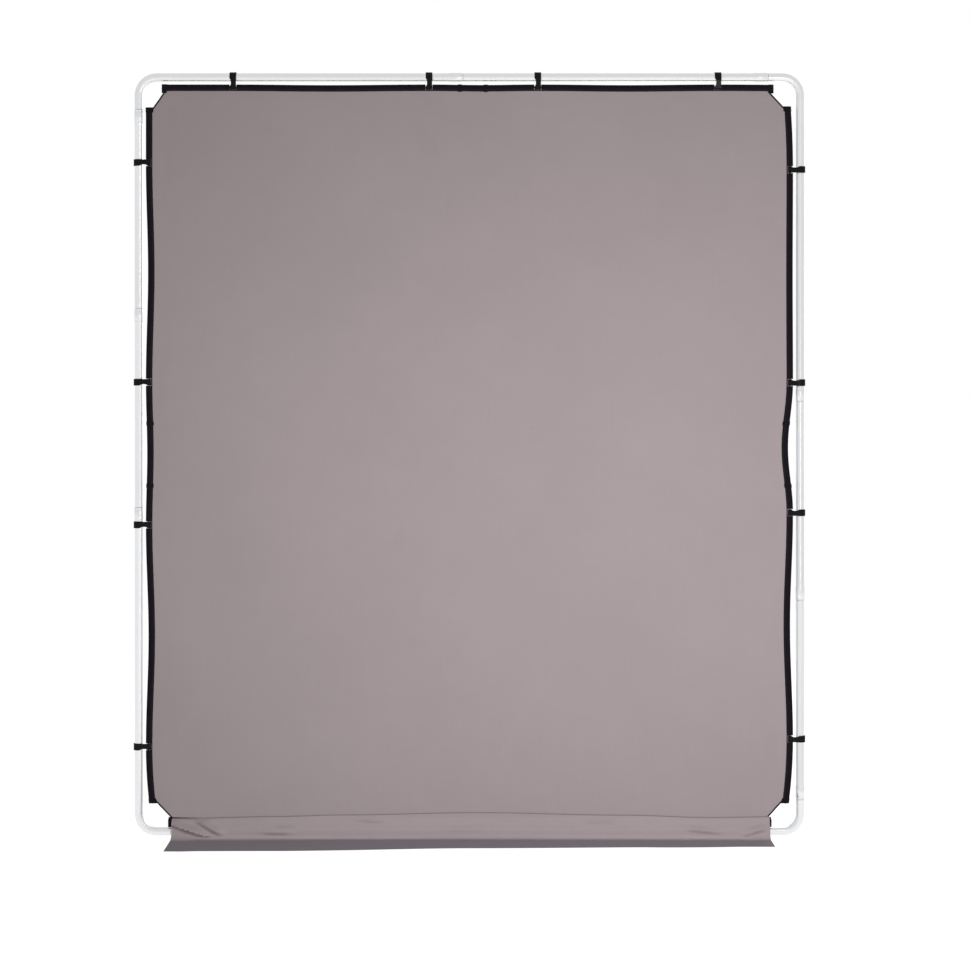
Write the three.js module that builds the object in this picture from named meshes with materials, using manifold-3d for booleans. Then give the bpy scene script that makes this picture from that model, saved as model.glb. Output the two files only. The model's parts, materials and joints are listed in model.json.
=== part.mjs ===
// Freestanding background frame: a push-together aluminium tube frame, 2.02 m by 2.3 m, with a cloth
// cover stretched inside it by hook clips, a skirt that runs forward onto the floor, and two
// swing-out feet behind. Millimetres, +Z up, viewer looking along +Y, origin on the floor at the
// middle of the footprint.

import * as THREE from 'three';
import { mergeVertices } from 'three/addons/utils/BufferGeometryUtils.js';
import Module from 'manifold-3d';

const wasm = await Module();
wasm.setup();

// ---- Driving dimensions -------------------------------------------------------------------------

const FRAME_WIDTH = 2020;          // over the tubes
const FRAME_HEIGHT = 2300;         // over the tubes
const FLOOR_GAP = 5;               // the foot clamps hold the bottom tube this far off the floor

const TUBE_R = 12.7;
const TUBE_WALL = 1.4;
const TUBE_SIDES = 16;
const BEND_R = 54;                 // corner bend, on the centreline
const BEND_STEPS = 8;
const SHORT_LEG = 110;             // corner section, from the outside of the corner
const SIDE_SECTION = 600;          // straight sections of the two sides
const SECTIONS_PER_SIDE = 2;
const SPIGOT_LENGTH = 60;          // reduced end that pushes into the next section
const SOCKET_LENGTH = 40;          // belled end that takes it
const SOCKET_R = 13.7;
const SEAM = 0.8;                  // open line between two sections
const PLAY = 0.4;                  // clearance between pieces that slide or turn on each other

const SHOCK_CORD_R = 2.5;
const SHOCK_CORD_SIDES = 8;

const COVER_DEPTH = -6;            // middle of the cover, in front of the middle of the tubes
const COVER_GAP = 10;              // clear gap between the tubes and the edge sleeves
const SLEEVE_WIDTH = 18;
const SLEEVE_THICKNESS = 10;
const SLEEVE_WALL = 1.2;
const SLEEVES = {                  // ends from the middle of each side, clockwise
  top: [-926, 915], right: [-1048, 1050], bottom: [-909, 907], left: [-1050, 1045],
};
const CLOTH_FLAT = { x: 903, z: 1044 };   // half the straight edges between the cut corners
const CLOTH_THICKNESS = 3;
const STITCH_GAP = 0.4;            // between sewn pieces that are solids of their own

const BATTEN_R = 2.5;
const BATTEN_INSET = 8;            // batten tip inside the end of its sleeve
const FERRULE_R = 3.4;
const FERRULE_SIDES = 12;
const JOINER_TOP_CENTRE = 10;      // the top batten's joint sits a little right of the middle
const BAND_OFFSET_TOP = 39;        // retaining bands, each side of the joiner
const BAND_OFFSET_SIDE = 94;
const BAND_WIDTH = 12;
const BAND_THICKNESS = 1.2;

const CLIP_WIDTH = 20;
const CLIP_WALL = 3.2;
const CLIP_EYE_R = 5.6;
const CLIP_BLEND = 4;              // height over which the hook runs into the neck, and it into the eye
const CLIP_TAIL = 7;               // straight leg of the hook behind the middle of the tube
const CLIPS = {                    // along each side: X from the middle, or Z above the floor
  top: [-713, -122, 206, 749],
  right: [298, 980, 1372, 2014],
  bottom: [-730, -165, 165, 730],
  left: [274, 943, 1373, 2035],
};

const SKIRT_HALF_WIDTH = 900;
const SKIRT_REACH = { left: 198, right: 124 };  // front edge on the floor, forward of the tubes
const SKIRT_LANDING = 60;          // where it meets the floor
const SKIRT_FALL = 16;             // how far forward it leans as it falls
const SKIRT_THICKNESS = 4;

const FOOT_X = 480;
const FOOT_BOLT_Y = 44;            // swivel bolt behind the bottom tube
const FOOT_LENGTH = 400;           // from the bolt to the end of the bar
const FOOT_BAR_R = 9.5;
const CLAMP_WIDTH = 44;
const CLAMP_WALL = 3.4;
const CLAMP_PLATE = 6;
const TONGUE = 11;                 // thickness of the flattened end of the bar
const TONGUE_R = 17.5;             // its round end
const TONGUE_GAP = 0.5;            // between the round end and the web of the clamp
const BOLT_R = 4;
const PAD_LENGTH = 32;
const PAD_WALL = 2;
const PAD_SOLE = 9;                // half width of the flat sole
const KNOB_R = 17;
const KNOB_HEIGHT = 13;
const KNOB_LOBES = 6;
const KNOB_DIP = 1.5;              // half the depth between two lobes
const KNOB_FLANGE = { r: 11, height: 2 };

// ---- Derived places -----------------------------------------------------------------------------

const HALF_SPAN = FRAME_WIDTH / 2 - TUBE_R;                  // centreline of the side tubes
const BOTTOM_Z = FLOOR_GAP + TUBE_R;                         // centreline of the bottom tube
const TOP_Z = FLOOR_GAP + FRAME_HEIGHT - TUBE_R;
const MIDDLE_Z = (BOTTOM_Z + TOP_Z) / 2;
const LONG_LEG = FRAME_HEIGHT - SHORT_LEG - SECTIONS_PER_SIDE * SIDE_SECTION;
const RAIL_SECTION = FRAME_WIDTH - SHORT_LEG - LONG_LEG;     // straight section of top and bottom
const SLEEVE_OFFSET = TUBE_R + COVER_GAP + SLEEVE_WIDTH / 2; // tube to sleeve, middle to middle
const CLAMP_R = TUBE_R + PLAY + CLAMP_WALL;
const FOOT_BAR_Z = CLAMP_PLATE + PLAY + TONGUE / 2;
const CLAMP_TOP_Z = 2 * CLAMP_PLATE + 2 * PLAY + TONGUE;
const FOOT_REACH = FOOT_BOLT_Y + FOOT_LENGTH + PLAY + PAD_WALL;
const FRAME_Y = (SKIRT_REACH.left - FOOT_REACH) / 2;         // centres the footprint on the origin

const QUARTER = Math.PI / 2;
// Each side of the frame seen from the front: how far it is turned from the top side, and the
// middle of its tube.
const SIDES = {
  top: { turn: 0, at: [0, TOP_Z] },
  right: { turn: QUARTER, at: [HALF_SPAN, MIDDLE_Z] },
  bottom: { turn: 2 * QUARTER, at: [0, BOTTOM_Z] },
  left: { turn: 3 * QUARTER, at: [-HALF_SPAN, MIDDLE_Z] },
};

const material = (color, roughness, metalness = 0) =>
  new THREE.MeshStandardMaterial({ color, roughness, metalness });
const ALUMINIUM = material(0xdfe0e2, 0.32, 0.9);
const CLIP_BLACK = material(0x0b0b0d, 0.25);
const WEBBING = material(0x17131b, 0.85);
const CLOTH = material(0xa09394, 0.95);
const FIBREGLASS = material(0xd9d6c8, 0.5);
const ELASTIC = material(0x202022, 0.8);
const BLACK_STEEL = material(0x1b1c1f, 0.45, 0.6);
const RUBBER = material(0x141414, 0.9);
const KNOB_BLACK = material(0x121214, 0.5);

// ---- Helpers ------------------------------------------------------------------------------------

const background = new THREE.Group();
background.position.y = FRAME_Y;

function addPiece(name, geometry, finish, position = [0, 0, 0], turn = 0) {
  const mesh = new THREE.Mesh(geometry, finish);
  mesh.name = name;
  mesh.position.set(...position);
  mesh.rotation.y = turn;
  background.add(mesh);
}

function toSolid(geometry) {
  geometry.deleteAttribute('normal');
  geometry.deleteAttribute('uv');
  const merged = mergeVertices(geometry, 1e-4);
  return new wasm.Manifold(new wasm.Mesh({
    numProp: 3,
    vertProperties: new Float32Array(merged.attributes.position.array),
    triVerts: new Uint32Array(merged.index.array),
  }));
}

function toGeometry(solid) {
  const mesh = solid.getMesh();
  const geometry = new THREE.BufferGeometry();
  geometry.setAttribute('position', new THREE.BufferAttribute(mesh.vertProperties, 3));
  geometry.setIndex(new THREE.BufferAttribute(mesh.triVerts, 1));
  return geometry;
}

// Cylinder of radius r along 'x', 'y' or 'z', from one coordinate to the other, through (a, b) on
// the two other axes.
function rod(axis, r, from, to, [a, b] = [0, 0], sides = TUBE_SIDES) {
  const geometry = new THREE.CylinderGeometry(r, r, to - from, sides);
  const middle = (from + to) / 2;
  if (axis === 'x') geometry.rotateZ(-QUARTER).translate(middle, a, b);
  if (axis === 'y') geometry.translate(a, middle, b);
  if (axis === 'z') geometry.rotateX(QUARTER).translate(a, b, middle);
  return toSolid(geometry);
}

function block([x0, x1], [y0, y1], [z0, z1]) {
  const geometry = new THREE.BoxGeometry(x1 - x0, y1 - y0, z1 - z0);
  return toSolid(geometry.translate((x0 + x1) / 2, (y0 + y1) / 2, (z0 + z1) / 2));
}

// A shape drawn in (Y, Z), drawn out along X and centred on X = middle.
function alongX(shape, length, middle = 0, curveSegments = 6) {
  const geometry = new THREE.ExtrudeGeometry(shape, {
    depth: length, bevelEnabled: false, curveSegments,
  });
  // shape x -> Y, shape y -> Z, depth -> X
  geometry.applyMatrix4(new THREE.Matrix4().set(
    0, 0, 1, middle - length / 2,
    1, 0, 0, 0,
    0, 1, 0, 0,
    0, 0, 0, 1,
  ));
  return geometry;
}

function rectangle(path, [y0, y1], [z0, z1]) {
  path.moveTo(y0, z0);
  path.lineTo(y1, z0);
  path.lineTo(y1, z1);
  path.lineTo(y0, z1);
  path.closePath();
  return path;
}

// ---- Frame sections -----------------------------------------------------------------------------

// A route of straight legs and quarter bends in the XZ plane. Each station is a point with its
// direction, and a section is drawn at every station.
class PipeRoute extends THREE.Curve {
  constructor(start, heading) {
    super();
    this.point = new THREE.Vector3(start[0], 0, start[1]);
    this.heading = new THREE.Vector3(heading[0], 0, heading[1]);
    this.stations = [];
    this.mark();
  }

  mark() {
    this.stations.push({ point: this.point.clone(), heading: this.heading.clone() });
  }

  leg(length) {
    this.point.addScaledVector(this.heading, length);
    this.mark();
    return this;
  }

  // Quarter bend of the corner radius, clockwise seen from the front.
  bend() {
    const outward = this.heading;
    const inward = outward.clone().applyAxisAngle(new THREE.Vector3(0, 1, 0), QUARTER);
    const centre = this.point.clone().addScaledVector(inward, BEND_R);
    for (let step = 1; step <= BEND_STEPS; step += 1) {
      const angle = (QUARTER * step) / BEND_STEPS;
      this.point = centre.clone()
        .addScaledVector(inward, -BEND_R * Math.cos(angle))
        .addScaledVector(outward, BEND_R * Math.sin(angle));
      this.heading = outward.clone().multiplyScalar(Math.cos(angle))
        .addScaledVector(inward, Math.sin(angle));
      this.mark();
    }
    return this;
  }

  between(t) {
    const at = THREE.MathUtils.clamp(t, 0, 1) * (this.stations.length - 1);
    const first = Math.min(Math.floor(at), this.stations.length - 2);
    return [this.stations[first], this.stations[first + 1], at - first];
  }

  getPoint(t) {
    const [a, b, part] = this.between(t);
    return a.point.clone().lerp(b.point, part);
  }

  getTangent(t) {
    const [a, b, part] = this.between(t);
    return a.heading.clone().lerp(b.heading, part).normalize();
  }

  getUtoTmapping(u) {
    return u;
  }

  sweep(section) {
    return new THREE.ExtrudeGeometry(section, {
      steps: this.stations.length - 1, extrudePath: this, curveSegments: TUBE_SIDES / 2,
    });
  }
}

function roundSection(r, sides, boreR = 0) {
  const circle = (path, radius) => {
    for (let side = 0; side < sides; side += 1) {
      const angle = (2 * Math.PI * side) / sides;
      const put = side === 0 ? 'moveTo' : 'lineTo';
      path[put](radius * Math.cos(angle), radius * Math.sin(angle));
    }
    return path;
  };
  const section = circle(new THREE.Shape(), r);
  if (boreR > 0) section.holes.push(circle(new THREE.Path(), boreR));
  return section;
}

// A ring of revolution about X, between two coordinates and two radii.
function collar(from, to, innerR, outerR) {
  const outside = rod('x', outerR, from, to);
  return outside.subtract(rod('x', innerR, from - 1, to + 1));
}

// End fittings are drawn on a section whose end face is at X = 0, with the section on the -X side.
function spigotEnd() {
  const boreR = TUBE_R - TUBE_WALL;
  const spigotR = boreR - PLAY;
  const root = 8;
  return collar(-root, 0, spigotR - TUBE_WALL, boreR + TUBE_WALL / 2)
    .add(collar(-root, SPIGOT_LENGTH, spigotR - TUBE_WALL, spigotR));
}

function socketEnd() {
  return collar(-SOCKET_LENGTH, 0, TUBE_R - TUBE_WALL / 2, SOCKET_R);
}

// Turns an end fitting so that +X runs along the heading, and puts it at a station.
function fitEnd(fitting, { point, heading }, forward = 1) {
  const turn = Math.atan2(-heading.z * forward, heading.x * forward);
  return toSolid(toGeometry(fitting)
    .rotateY(turn)
    .translate(point.x, point.y, point.z));
}

// A section runs clockwise round the frame, from its spigot to its socket.
function frameSection(route) {
  const tube = toSolid(route.sweep(roundSection(TUBE_R, TUBE_SIDES, TUBE_R - TUBE_WALL)));
  const first = route.stations[0];
  const last = route.stations[route.stations.length - 1];
  return toGeometry(tube.add(fitEnd(spigotEnd(), first, -1)).add(fitEnd(socketEnd(), last)));
}

// The four corner sections are alike. Drawn for the top left corner about the point where the two
// centrelines would meet: up the short leg, round the bend, and along the long leg.
function cornerSection() {
  const short = SHORT_LEG - TUBE_R - SEAM / 2;
  const long = LONG_LEG - TUBE_R - SEAM / 2;
  const route = new PipeRoute([0, -short], [0, 1]).leg(short - BEND_R).bend().leg(long - BEND_R);
  return frameSection(route);
}

function straightSection(length) {
  return frameSection(new PipeRoute([SEAM / 2 - length / 2, 0], [1, 0]).leg(length - SEAM));
}

function buildFrame() {
  const corner = cornerSection();
  const corners = {
    top_left: [-HALF_SPAN, TOP_Z],
    top_right: [HALF_SPAN, TOP_Z],
    bottom_right: [HALF_SPAN, BOTTOM_Z],
    bottom_left: [-HALF_SPAN, BOTTOM_Z],
  };
  Object.entries(corners).forEach(([place, [x, z]], index) => {
    addPiece(`corner_tube_${place}`, corner.clone(), ALUMINIUM, [x, 0, z], index * QUARTER);
  });

  const rail = straightSection(RAIL_SECTION);
  const railX = FRAME_WIDTH / 2 - SHORT_LEG - RAIL_SECTION / 2;
  addPiece('top_tube', rail.clone(), ALUMINIUM, [railX, 0, TOP_Z], SIDES.top.turn);
  addPiece('bottom_tube', rail.clone(), ALUMINIUM, [-railX, 0, BOTTOM_Z], SIDES.bottom.turn);

  const side = straightSection(SIDE_SECTION);
  for (let number = 0; number < SECTIONS_PER_SIDE; number += 1) {
    const fromShortLeg = SHORT_LEG + (number + 0.5) * SIDE_SECTION;
    const leftZ = FLOOR_GAP + FRAME_HEIGHT - fromShortLeg;
    const rightZ = FLOOR_GAP + fromShortLeg;
    const place = number === 0 ? ['upper', 'lower'] : ['lower', 'upper'];
    addPiece(`left_tube_${place[0]}`, side.clone(), ALUMINIUM,
      [-HALF_SPAN, 0, leftZ], SIDES.left.turn);
    addPiece(`right_tube_${place[1]}`, side.clone(), ALUMINIUM,
      [HALF_SPAN, 0, rightZ], SIDES.right.turn);
  }
}

// Elastic cord through one half of the frame, from the bottom rail up one side and along the top.
function buildShockCords() {
  const tie = 330;                 // each cord is tied off this far from the middle of the rails
  const run = HALF_SPAN - BEND_R - tie;
  const rise = TOP_Z - BOTTOM_Z - 2 * BEND_R;
  const section = roundSection(SHOCK_CORD_R, SHOCK_CORD_SIDES);
  const left = new PipeRoute([-tie, BOTTOM_Z], [-1, 0]).leg(run).bend().leg(rise).bend().leg(run);
  const right = new PipeRoute([tie, TOP_Z], [1, 0]).leg(run).bend().leg(rise).bend().leg(run);
  addPiece('shock_cord_left', left.sweep(section), ELASTIC);
  addPiece('shock_cord_right', right.sweep(section), ELASTIC);
}

// ---- Cover: cloth, edge sleeves, battens and bands ----------------------------------------------

// Where a side's clips sit along the side's own +X, which runs clockwise round the frame.
function clipsAlong(side) {
  const { turn, at } = SIDES[side];
  const middle = turn % (2 * QUARTER) === 0 ? at[0] : at[1];
  const sign = side === 'top' || side === 'left' ? 1 : -1;
  return CLIPS[side].map((place) => sign * (place - middle));
}

function placeOnSide(side) {
  const { turn, at } = SIDES[side];
  return { position: [at[0], 0, at[1]], turn };
}

function edgeSleeve(side, [from, to]) {
  const half = { y: SLEEVE_THICKNESS / 2, z: SLEEVE_WIDTH / 2 };
  const centre = { y: COVER_DEPTH, z: -SLEEVE_OFFSET };
  const span = (middle, reach) => [middle - reach, middle + reach];
  const section = rectangle(new THREE.Shape(), span(centre.y, half.y), span(centre.z, half.z));
  section.holes.push(rectangle(new THREE.Path(),
    span(centre.y, half.y - SLEEVE_WALL), span(centre.z, half.z - SLEEVE_WALL)));
  let sleeve = toSolid(alongX(section, to - from, (from + to) / 2));
  const window = CLIP_WIDTH / 2 + 2;
  const kept = 2;                  // edge of the sleeve that is left behind each window
  clipsAlong(side).forEach((x) => {
    sleeve = sleeve.subtract(block([x - window, x + window], span(centre.y, SLEEVE_THICKNESS),
      [centre.z - half.z + kept, centre.z + SLEEVE_WIDTH]));
  });
  return toGeometry(sleeve);
}

// The batten is in two halves. The first carries the ferrule that the second pushes into.
function battenHalves([from, to], joinerX, ferruleHalf) {
  const place = [COVER_DEPTH, -SLEEVE_OFFSET];
  const first = rod('x', BATTEN_R, from + BATTEN_INSET, joinerX, place, SHOCK_CORD_SIDES)
    .add(rod('x', FERRULE_R, joinerX - ferruleHalf, joinerX + ferruleHalf, place, FERRULE_SIDES))
    .subtract(rod('x', BATTEN_R + PLAY, joinerX, joinerX + ferruleHalf + 1, place, FERRULE_SIDES));
  const second = rod('x', BATTEN_R, joinerX + PLAY, to - BATTEN_INSET, place, SHOCK_CORD_SIDES);
  return [toGeometry(first), toGeometry(second)];
}

// A band wraps the outside, front and back of a sleeve, and is sewn down beside the cloth.
function retainingBand(x) {
  const inner = { y: SLEEVE_THICKNESS / 2 + STITCH_GAP, z: SLEEVE_WIDTH / 2 + STITCH_GAP };
  const outer = { y: inner.y + BAND_THICKNESS, z: inner.z + BAND_THICKNESS };
  const foot = -SLEEVE_WIDTH / 2;
  const band = new THREE.Shape();
  band.moveTo(-outer.y, foot);
  band.lineTo(-outer.y, outer.z);
  band.lineTo(outer.y, outer.z);
  band.lineTo(outer.y, foot);
  band.lineTo(inner.y, foot);
  band.lineTo(inner.y, inner.z);
  band.lineTo(-inner.y, inner.z);
  band.lineTo(-inner.y, foot);
  band.closePath();
  return alongX(band, BAND_WIDTH, x).translate(0, COVER_DEPTH, -SLEEVE_OFFSET);
}

function buildEdges() {
  Object.keys(SIDES).forEach((side) => {
    const { position, turn } = placeOnSide(side);
    const upright = side === 'left' || side === 'right';
    const bandOffset = upright ? BAND_OFFSET_SIDE : BAND_OFFSET_TOP;
    const joinerX = side === 'top' ? JOINER_TOP_CENTRE : 0;
    addPiece(`edge_sleeve_${side}`, edgeSleeve(side, SLEEVES[side]), WEBBING, position, turn);
    const [first, second] = battenHalves(SLEEVES[side], joinerX, bandOffset - BAND_WIDTH);
    addPiece(`batten_${side}_ferruled`, first, FIBREGLASS, position, turn);
    addPiece(`batten_${side}_plain`, second, FIBREGLASS, position, turn);
    if (side === 'bottom') return;   // its bands are sewn into the top of the skirt
    ['a', 'b'].forEach((letter, index) => {
      const x = joinerX + (index === 0 ? -bandOffset : bandOffset);
      addPiece(`batten_band_${side}_${letter}`, retainingBand(x), WEBBING, position, turn);
    });
  });
}

function buildCloth() {
  const inset = SLEEVE_OFFSET + SLEEVE_WIDTH / 2 + STITCH_GAP;
  const half = { x: HALF_SPAN - inset, z: (TOP_Z - BOTTOM_Z) / 2 - inset };
  const flat = CLOTH_FLAT;
  const outline = new THREE.Shape();
  outline.moveTo(-flat.x, -half.z);
  outline.lineTo(flat.x, -half.z);
  outline.lineTo(half.x, -flat.z);
  outline.lineTo(half.x, flat.z);
  outline.lineTo(flat.x, half.z);
  outline.lineTo(-flat.x, half.z);
  outline.lineTo(-half.x, flat.z);
  outline.lineTo(-half.x, -flat.z);
  outline.closePath();
  const panel = new THREE.ExtrudeGeometry(outline, { depth: CLOTH_THICKNESS, bevelEnabled: false });
  panel.rotateX(QUARTER).translate(0, COVER_DEPTH + CLOTH_THICKNESS / 2, MIDDLE_Z);
  addPiece('cloth_panel', panel, CLOTH);
}

// The skirt falls from the front of the bottom sleeve and runs out along the floor. Its section is
// the same curve twice, a cloth thickness apart. It reaches further forward at the left.
function buildSkirt() {
  const top = BOTTOM_Z + SLEEVE_OFFSET + SLEEVE_WIDTH / 2 + 2;
  const start = COVER_DEPTH - SLEEVE_THICKNESS / 2 - STITCH_GAP;
  const section = new THREE.Shape();
  section.moveTo(start, top);
  section.quadraticCurveTo(start - SKIRT_FALL, SKIRT_THICKNESS, -SKIRT_LANDING, 0);
  section.lineTo(-SKIRT_REACH.left, 0);
  section.lineTo(-SKIRT_REACH.left, SKIRT_THICKNESS);
  section.lineTo(-SKIRT_LANDING, SKIRT_THICKNESS);
  section.quadraticCurveTo(start - SKIRT_FALL - SKIRT_THICKNESS, 2 * SKIRT_THICKNESS,
    start - SKIRT_THICKNESS, top);
  section.closePath();
  const skirt = alongX(section, 2 * SKIRT_HALF_WIDTH);
  const points = skirt.attributes.position;
  for (let i = 0; i < points.count; i += 1) {
    const atRightHem = points.getX(i) > 0 && points.getY(i) < -SKIRT_LANDING - 1;
    if (atRightHem) points.setY(i, -SKIRT_REACH.right);
  }
  addPiece('floor_skirt', skirt, CLOTH);
}

// ---- Clips --------------------------------------------------------------------------------------

// Drawn for the top side about the middle of the tube: a hook over the front and outside of the
// tube, and a strap back to an eye that turns on the batten.
function clip() {
  const inner = TUBE_R + PLAY;
  const outer = inner + CLIP_WALL;
  const eye = { y: COVER_DEPTH, z: -SLEEVE_OFFSET };
  const hook = new THREE.Shape();
  hook.moveTo(CLIP_TAIL, inner);
  hook.lineTo(CLIP_TAIL, outer);
  hook.lineTo(0, outer);
  hook.absarc(0, 0, outer, QUARTER, 2 * QUARTER, false);
  hook.lineTo(eye.y - CLIP_EYE_R, eye.z);
  hook.lineTo(eye.y - CLIP_EYE_R + CLIP_WALL, eye.z + CLIP_BLEND);
  hook.lineTo(-inner, -CLIP_BLEND);
  hook.lineTo(-inner, 0);
  hook.absarc(0, 0, inner, 2 * QUARTER, QUARTER, true);
  hook.closePath();
  const half = CLIP_WIDTH / 2;
  const body = toSolid(alongX(hook, CLIP_WIDTH))
    .add(rod('x', CLIP_EYE_R, -half, half, [eye.y, eye.z], FERRULE_SIDES))
    .subtract(rod('x', BATTEN_R + PLAY, -half - 1, half + 1, [eye.y, eye.z], FERRULE_SIDES));
  return toGeometry(body);
}

function buildClips() {
  const shape = clip();
  Object.keys(SIDES).forEach((side) => {
    const { turn, at } = SIDES[side];
    CLIPS[side].forEach((place, index) => {
      const upright = side === 'left' || side === 'right';
      const position = upright ? [at[0], 0, place] : [place, 0, at[1]];
      addPiece(`clip_${side}_${index + 1}`, shape.clone(), CLIP_BLACK, position, turn);
    });
  });
}

// ---- Feet ---------------------------------------------------------------------------------------

// Plate of the clevis: straight from the tube back to the bolt, and round behind it.
function clevisPlate(z0, thickness, frontY) {
  const half = CLAMP_WIDTH / 2;
  const plate = new THREE.Shape();
  plate.moveTo(-half, frontY);
  plate.lineTo(half, frontY);
  plate.lineTo(half, FOOT_BOLT_Y);
  plate.absarc(0, FOOT_BOLT_Y, half, 0, 2 * QUARTER, false);
  plate.closePath();
  const geometry = new THREE.ExtrudeGeometry(plate, {
    depth: thickness, bevelEnabled: false, curveSegments: 8,
  });
  return toSolid(geometry.translate(0, 0, z0));
}

function footClamp() {
  const half = CLAMP_WIDTH / 2;
  const webEnd = FOOT_BOLT_Y - TONGUE_R - TONGUE_GAP;
  const tube = [0, BOTTOM_Z];
  const body = rod('x', CLAMP_R, -half, half, tube, 20)
    .add(clevisPlate(0, CLAMP_PLATE, -CLAMP_R + 2))
    .add(clevisPlate(CLAMP_TOP_Z - CLAMP_PLATE, CLAMP_PLATE, TUBE_R))
    .add(block([-half, half], [TUBE_R, webEnd], [0, CLAMP_TOP_Z]))
    .subtract(rod('x', TUBE_R + PLAY, -half - 1, half + 1, tube, 20))
    .subtract(rod('z', BOLT_R + PLAY, -1, CLAMP_TOP_Z + 1, [0, FOOT_BOLT_Y], FERRULE_SIDES));
  return toGeometry(body);
}

// The bar is drawn about the swivel bolt: a flattened eye between the plates, then the round bar.
function footBar() {
  const barStart = CLAMP_WIDTH / 2 + 2;
  const [low, high] = [FOOT_BAR_Z - TONGUE / 2, FOOT_BAR_Z + TONGUE / 2];
  const body = rod('z', TONGUE_R, low, high, [0, 0], 20)
    .add(block([-FOOT_BAR_R + 1, FOOT_BAR_R - 1], [0, barStart + 6], [low, high]))
    .add(rod('y', FOOT_BAR_R, barStart, FOOT_LENGTH, [0, FOOT_BAR_Z]))
    .subtract(rod('z', BOLT_R + PLAY, low - 1, high + 1, [0, 0], FERRULE_SIDES));
  return toGeometry(body);
}

function footPad() {
  const start = FOOT_LENGTH - PAD_LENGTH;
  const end = FOOT_LENGTH + PLAY;
  const body = rod('y', FOOT_BAR_Z, start, end + PAD_WALL, [0, FOOT_BAR_Z])
    .add(block([-PAD_SOLE, PAD_SOLE], [start, end + PAD_WALL], [0, FOOT_BAR_Z]))
    .subtract(rod('y', FOOT_BAR_R + PLAY, start - 1, end, [0, FOOT_BAR_Z]));
  return toGeometry(body);
}

// Lobed hand knob on the bolt that holds the bar in the clevis.
function footKnob() {
  const head = new THREE.Shape();
  const points = KNOB_LOBES * 8;
  for (let step = 0; step < points; step += 1) {
    const angle = (2 * Math.PI * step) / points;
    const r = KNOB_R - KNOB_DIP + KNOB_DIP * Math.cos(KNOB_LOBES * angle);
    head[step === 0 ? 'moveTo' : 'lineTo'](r * Math.cos(angle), r * Math.sin(angle));
  }
  head.closePath();
  const flange = CLAMP_TOP_Z + PLAY;
  const headBase = flange + KNOB_FLANGE.height;
  const lobes = new THREE.ExtrudeGeometry(head, { depth: KNOB_HEIGHT, bevelEnabled: false });
  const body = toSolid(lobes.translate(0, 0, headBase))
    .add(rod('z', KNOB_FLANGE.r, flange, headBase + 1))
    .add(rod('z', BOLT_R, 1, headBase + 1, [0, 0], FERRULE_SIDES));
  return toGeometry(body);
}

function buildFeet() {
  const clamp = footClamp();
  const bar = footBar();
  const pad = footPad();
  const knob = footKnob();
  Object.entries({ left: -FOOT_X, right: FOOT_X }).forEach(([side, x]) => {
    addPiece(`foot_clamp_${side}`, clamp.clone(), BLACK_STEEL, [x, 0, 0]);
    addPiece(`foot_bar_${side}`, bar.clone(), BLACK_STEEL, [x, FOOT_BOLT_Y, 0]);
    addPiece(`foot_pad_${side}`, pad.clone(), RUBBER, [x, FOOT_BOLT_Y, 0]);
    addPiece(`foot_knob_${side}`, knob.clone(), KNOB_BLACK, [x, FOOT_BOLT_Y, 0]);
  });
}

buildFrame();
buildShockCords();
buildCloth();
buildSkirt();
buildEdges();
buildClips();
buildFeet();

export default background;
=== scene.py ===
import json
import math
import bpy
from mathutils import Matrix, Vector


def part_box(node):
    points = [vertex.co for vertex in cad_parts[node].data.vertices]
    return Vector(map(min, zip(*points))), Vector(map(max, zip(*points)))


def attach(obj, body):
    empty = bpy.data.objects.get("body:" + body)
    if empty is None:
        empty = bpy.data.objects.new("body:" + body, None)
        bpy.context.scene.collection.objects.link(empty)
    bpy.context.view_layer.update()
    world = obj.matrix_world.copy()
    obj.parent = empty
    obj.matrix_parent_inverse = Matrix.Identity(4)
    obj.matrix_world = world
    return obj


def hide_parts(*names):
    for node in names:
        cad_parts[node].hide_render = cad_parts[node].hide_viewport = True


bl_info = {
    "name": "Cloth Background Frame",
    "version": (1, 0, 0),
    "blender": (4, 5, 0),
    "location": "View3D > Sidebar > Background",
    "description": "Stretched cloth background on a tube frame, with clips, skirt and feet",
    "category": "Add Mesh",
}

import bmesh
import bpy
from bpy.props import FloatProperty, FloatVectorProperty, IntProperty, PointerProperty
from bpy.types import Operator, Panel, PropertyGroup
from mathutils import Matrix, Vector, noise

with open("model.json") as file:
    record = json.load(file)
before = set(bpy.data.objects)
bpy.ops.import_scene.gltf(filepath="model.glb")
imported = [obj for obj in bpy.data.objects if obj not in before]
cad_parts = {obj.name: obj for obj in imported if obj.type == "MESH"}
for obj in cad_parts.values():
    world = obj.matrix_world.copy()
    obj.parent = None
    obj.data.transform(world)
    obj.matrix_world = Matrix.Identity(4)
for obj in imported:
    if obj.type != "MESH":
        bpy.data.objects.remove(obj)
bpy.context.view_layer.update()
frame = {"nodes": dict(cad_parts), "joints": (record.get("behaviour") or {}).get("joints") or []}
ROOT = "frame_and_cover"
MM = 0.001
QUARTER = math.pi / 2

# Sizes in metres. In the frame of one side X runs along it, Y back and Z outwards.
SPIGOT = 60 * MM  # length of a tube section's plug end
COVER_Y = -6 * MM  # the cover's middle plane, in front of the tubes' middle
SLEEVE_HALF = 9.7 * MM
SLEEVE_GIRTH = 4.6 * SLEEVE_HALF  # width of tape that makes a sleeve
TAPE = 0.9 * MM
CLOTH = 0.8 * MM
BATTEN_R = 2.5 * MM
EYE_PLAY = 0.4 * MM
EYE_WALL = 2.7 * MM
SOFT_LIGHT = 0.23  # strength of the light from all round


# ---- Settings ----------------------------------------------------------------------------------


def length(name, description, default):
    return FloatProperty(name=name, description=description, default=default, unit="LENGTH")


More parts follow.
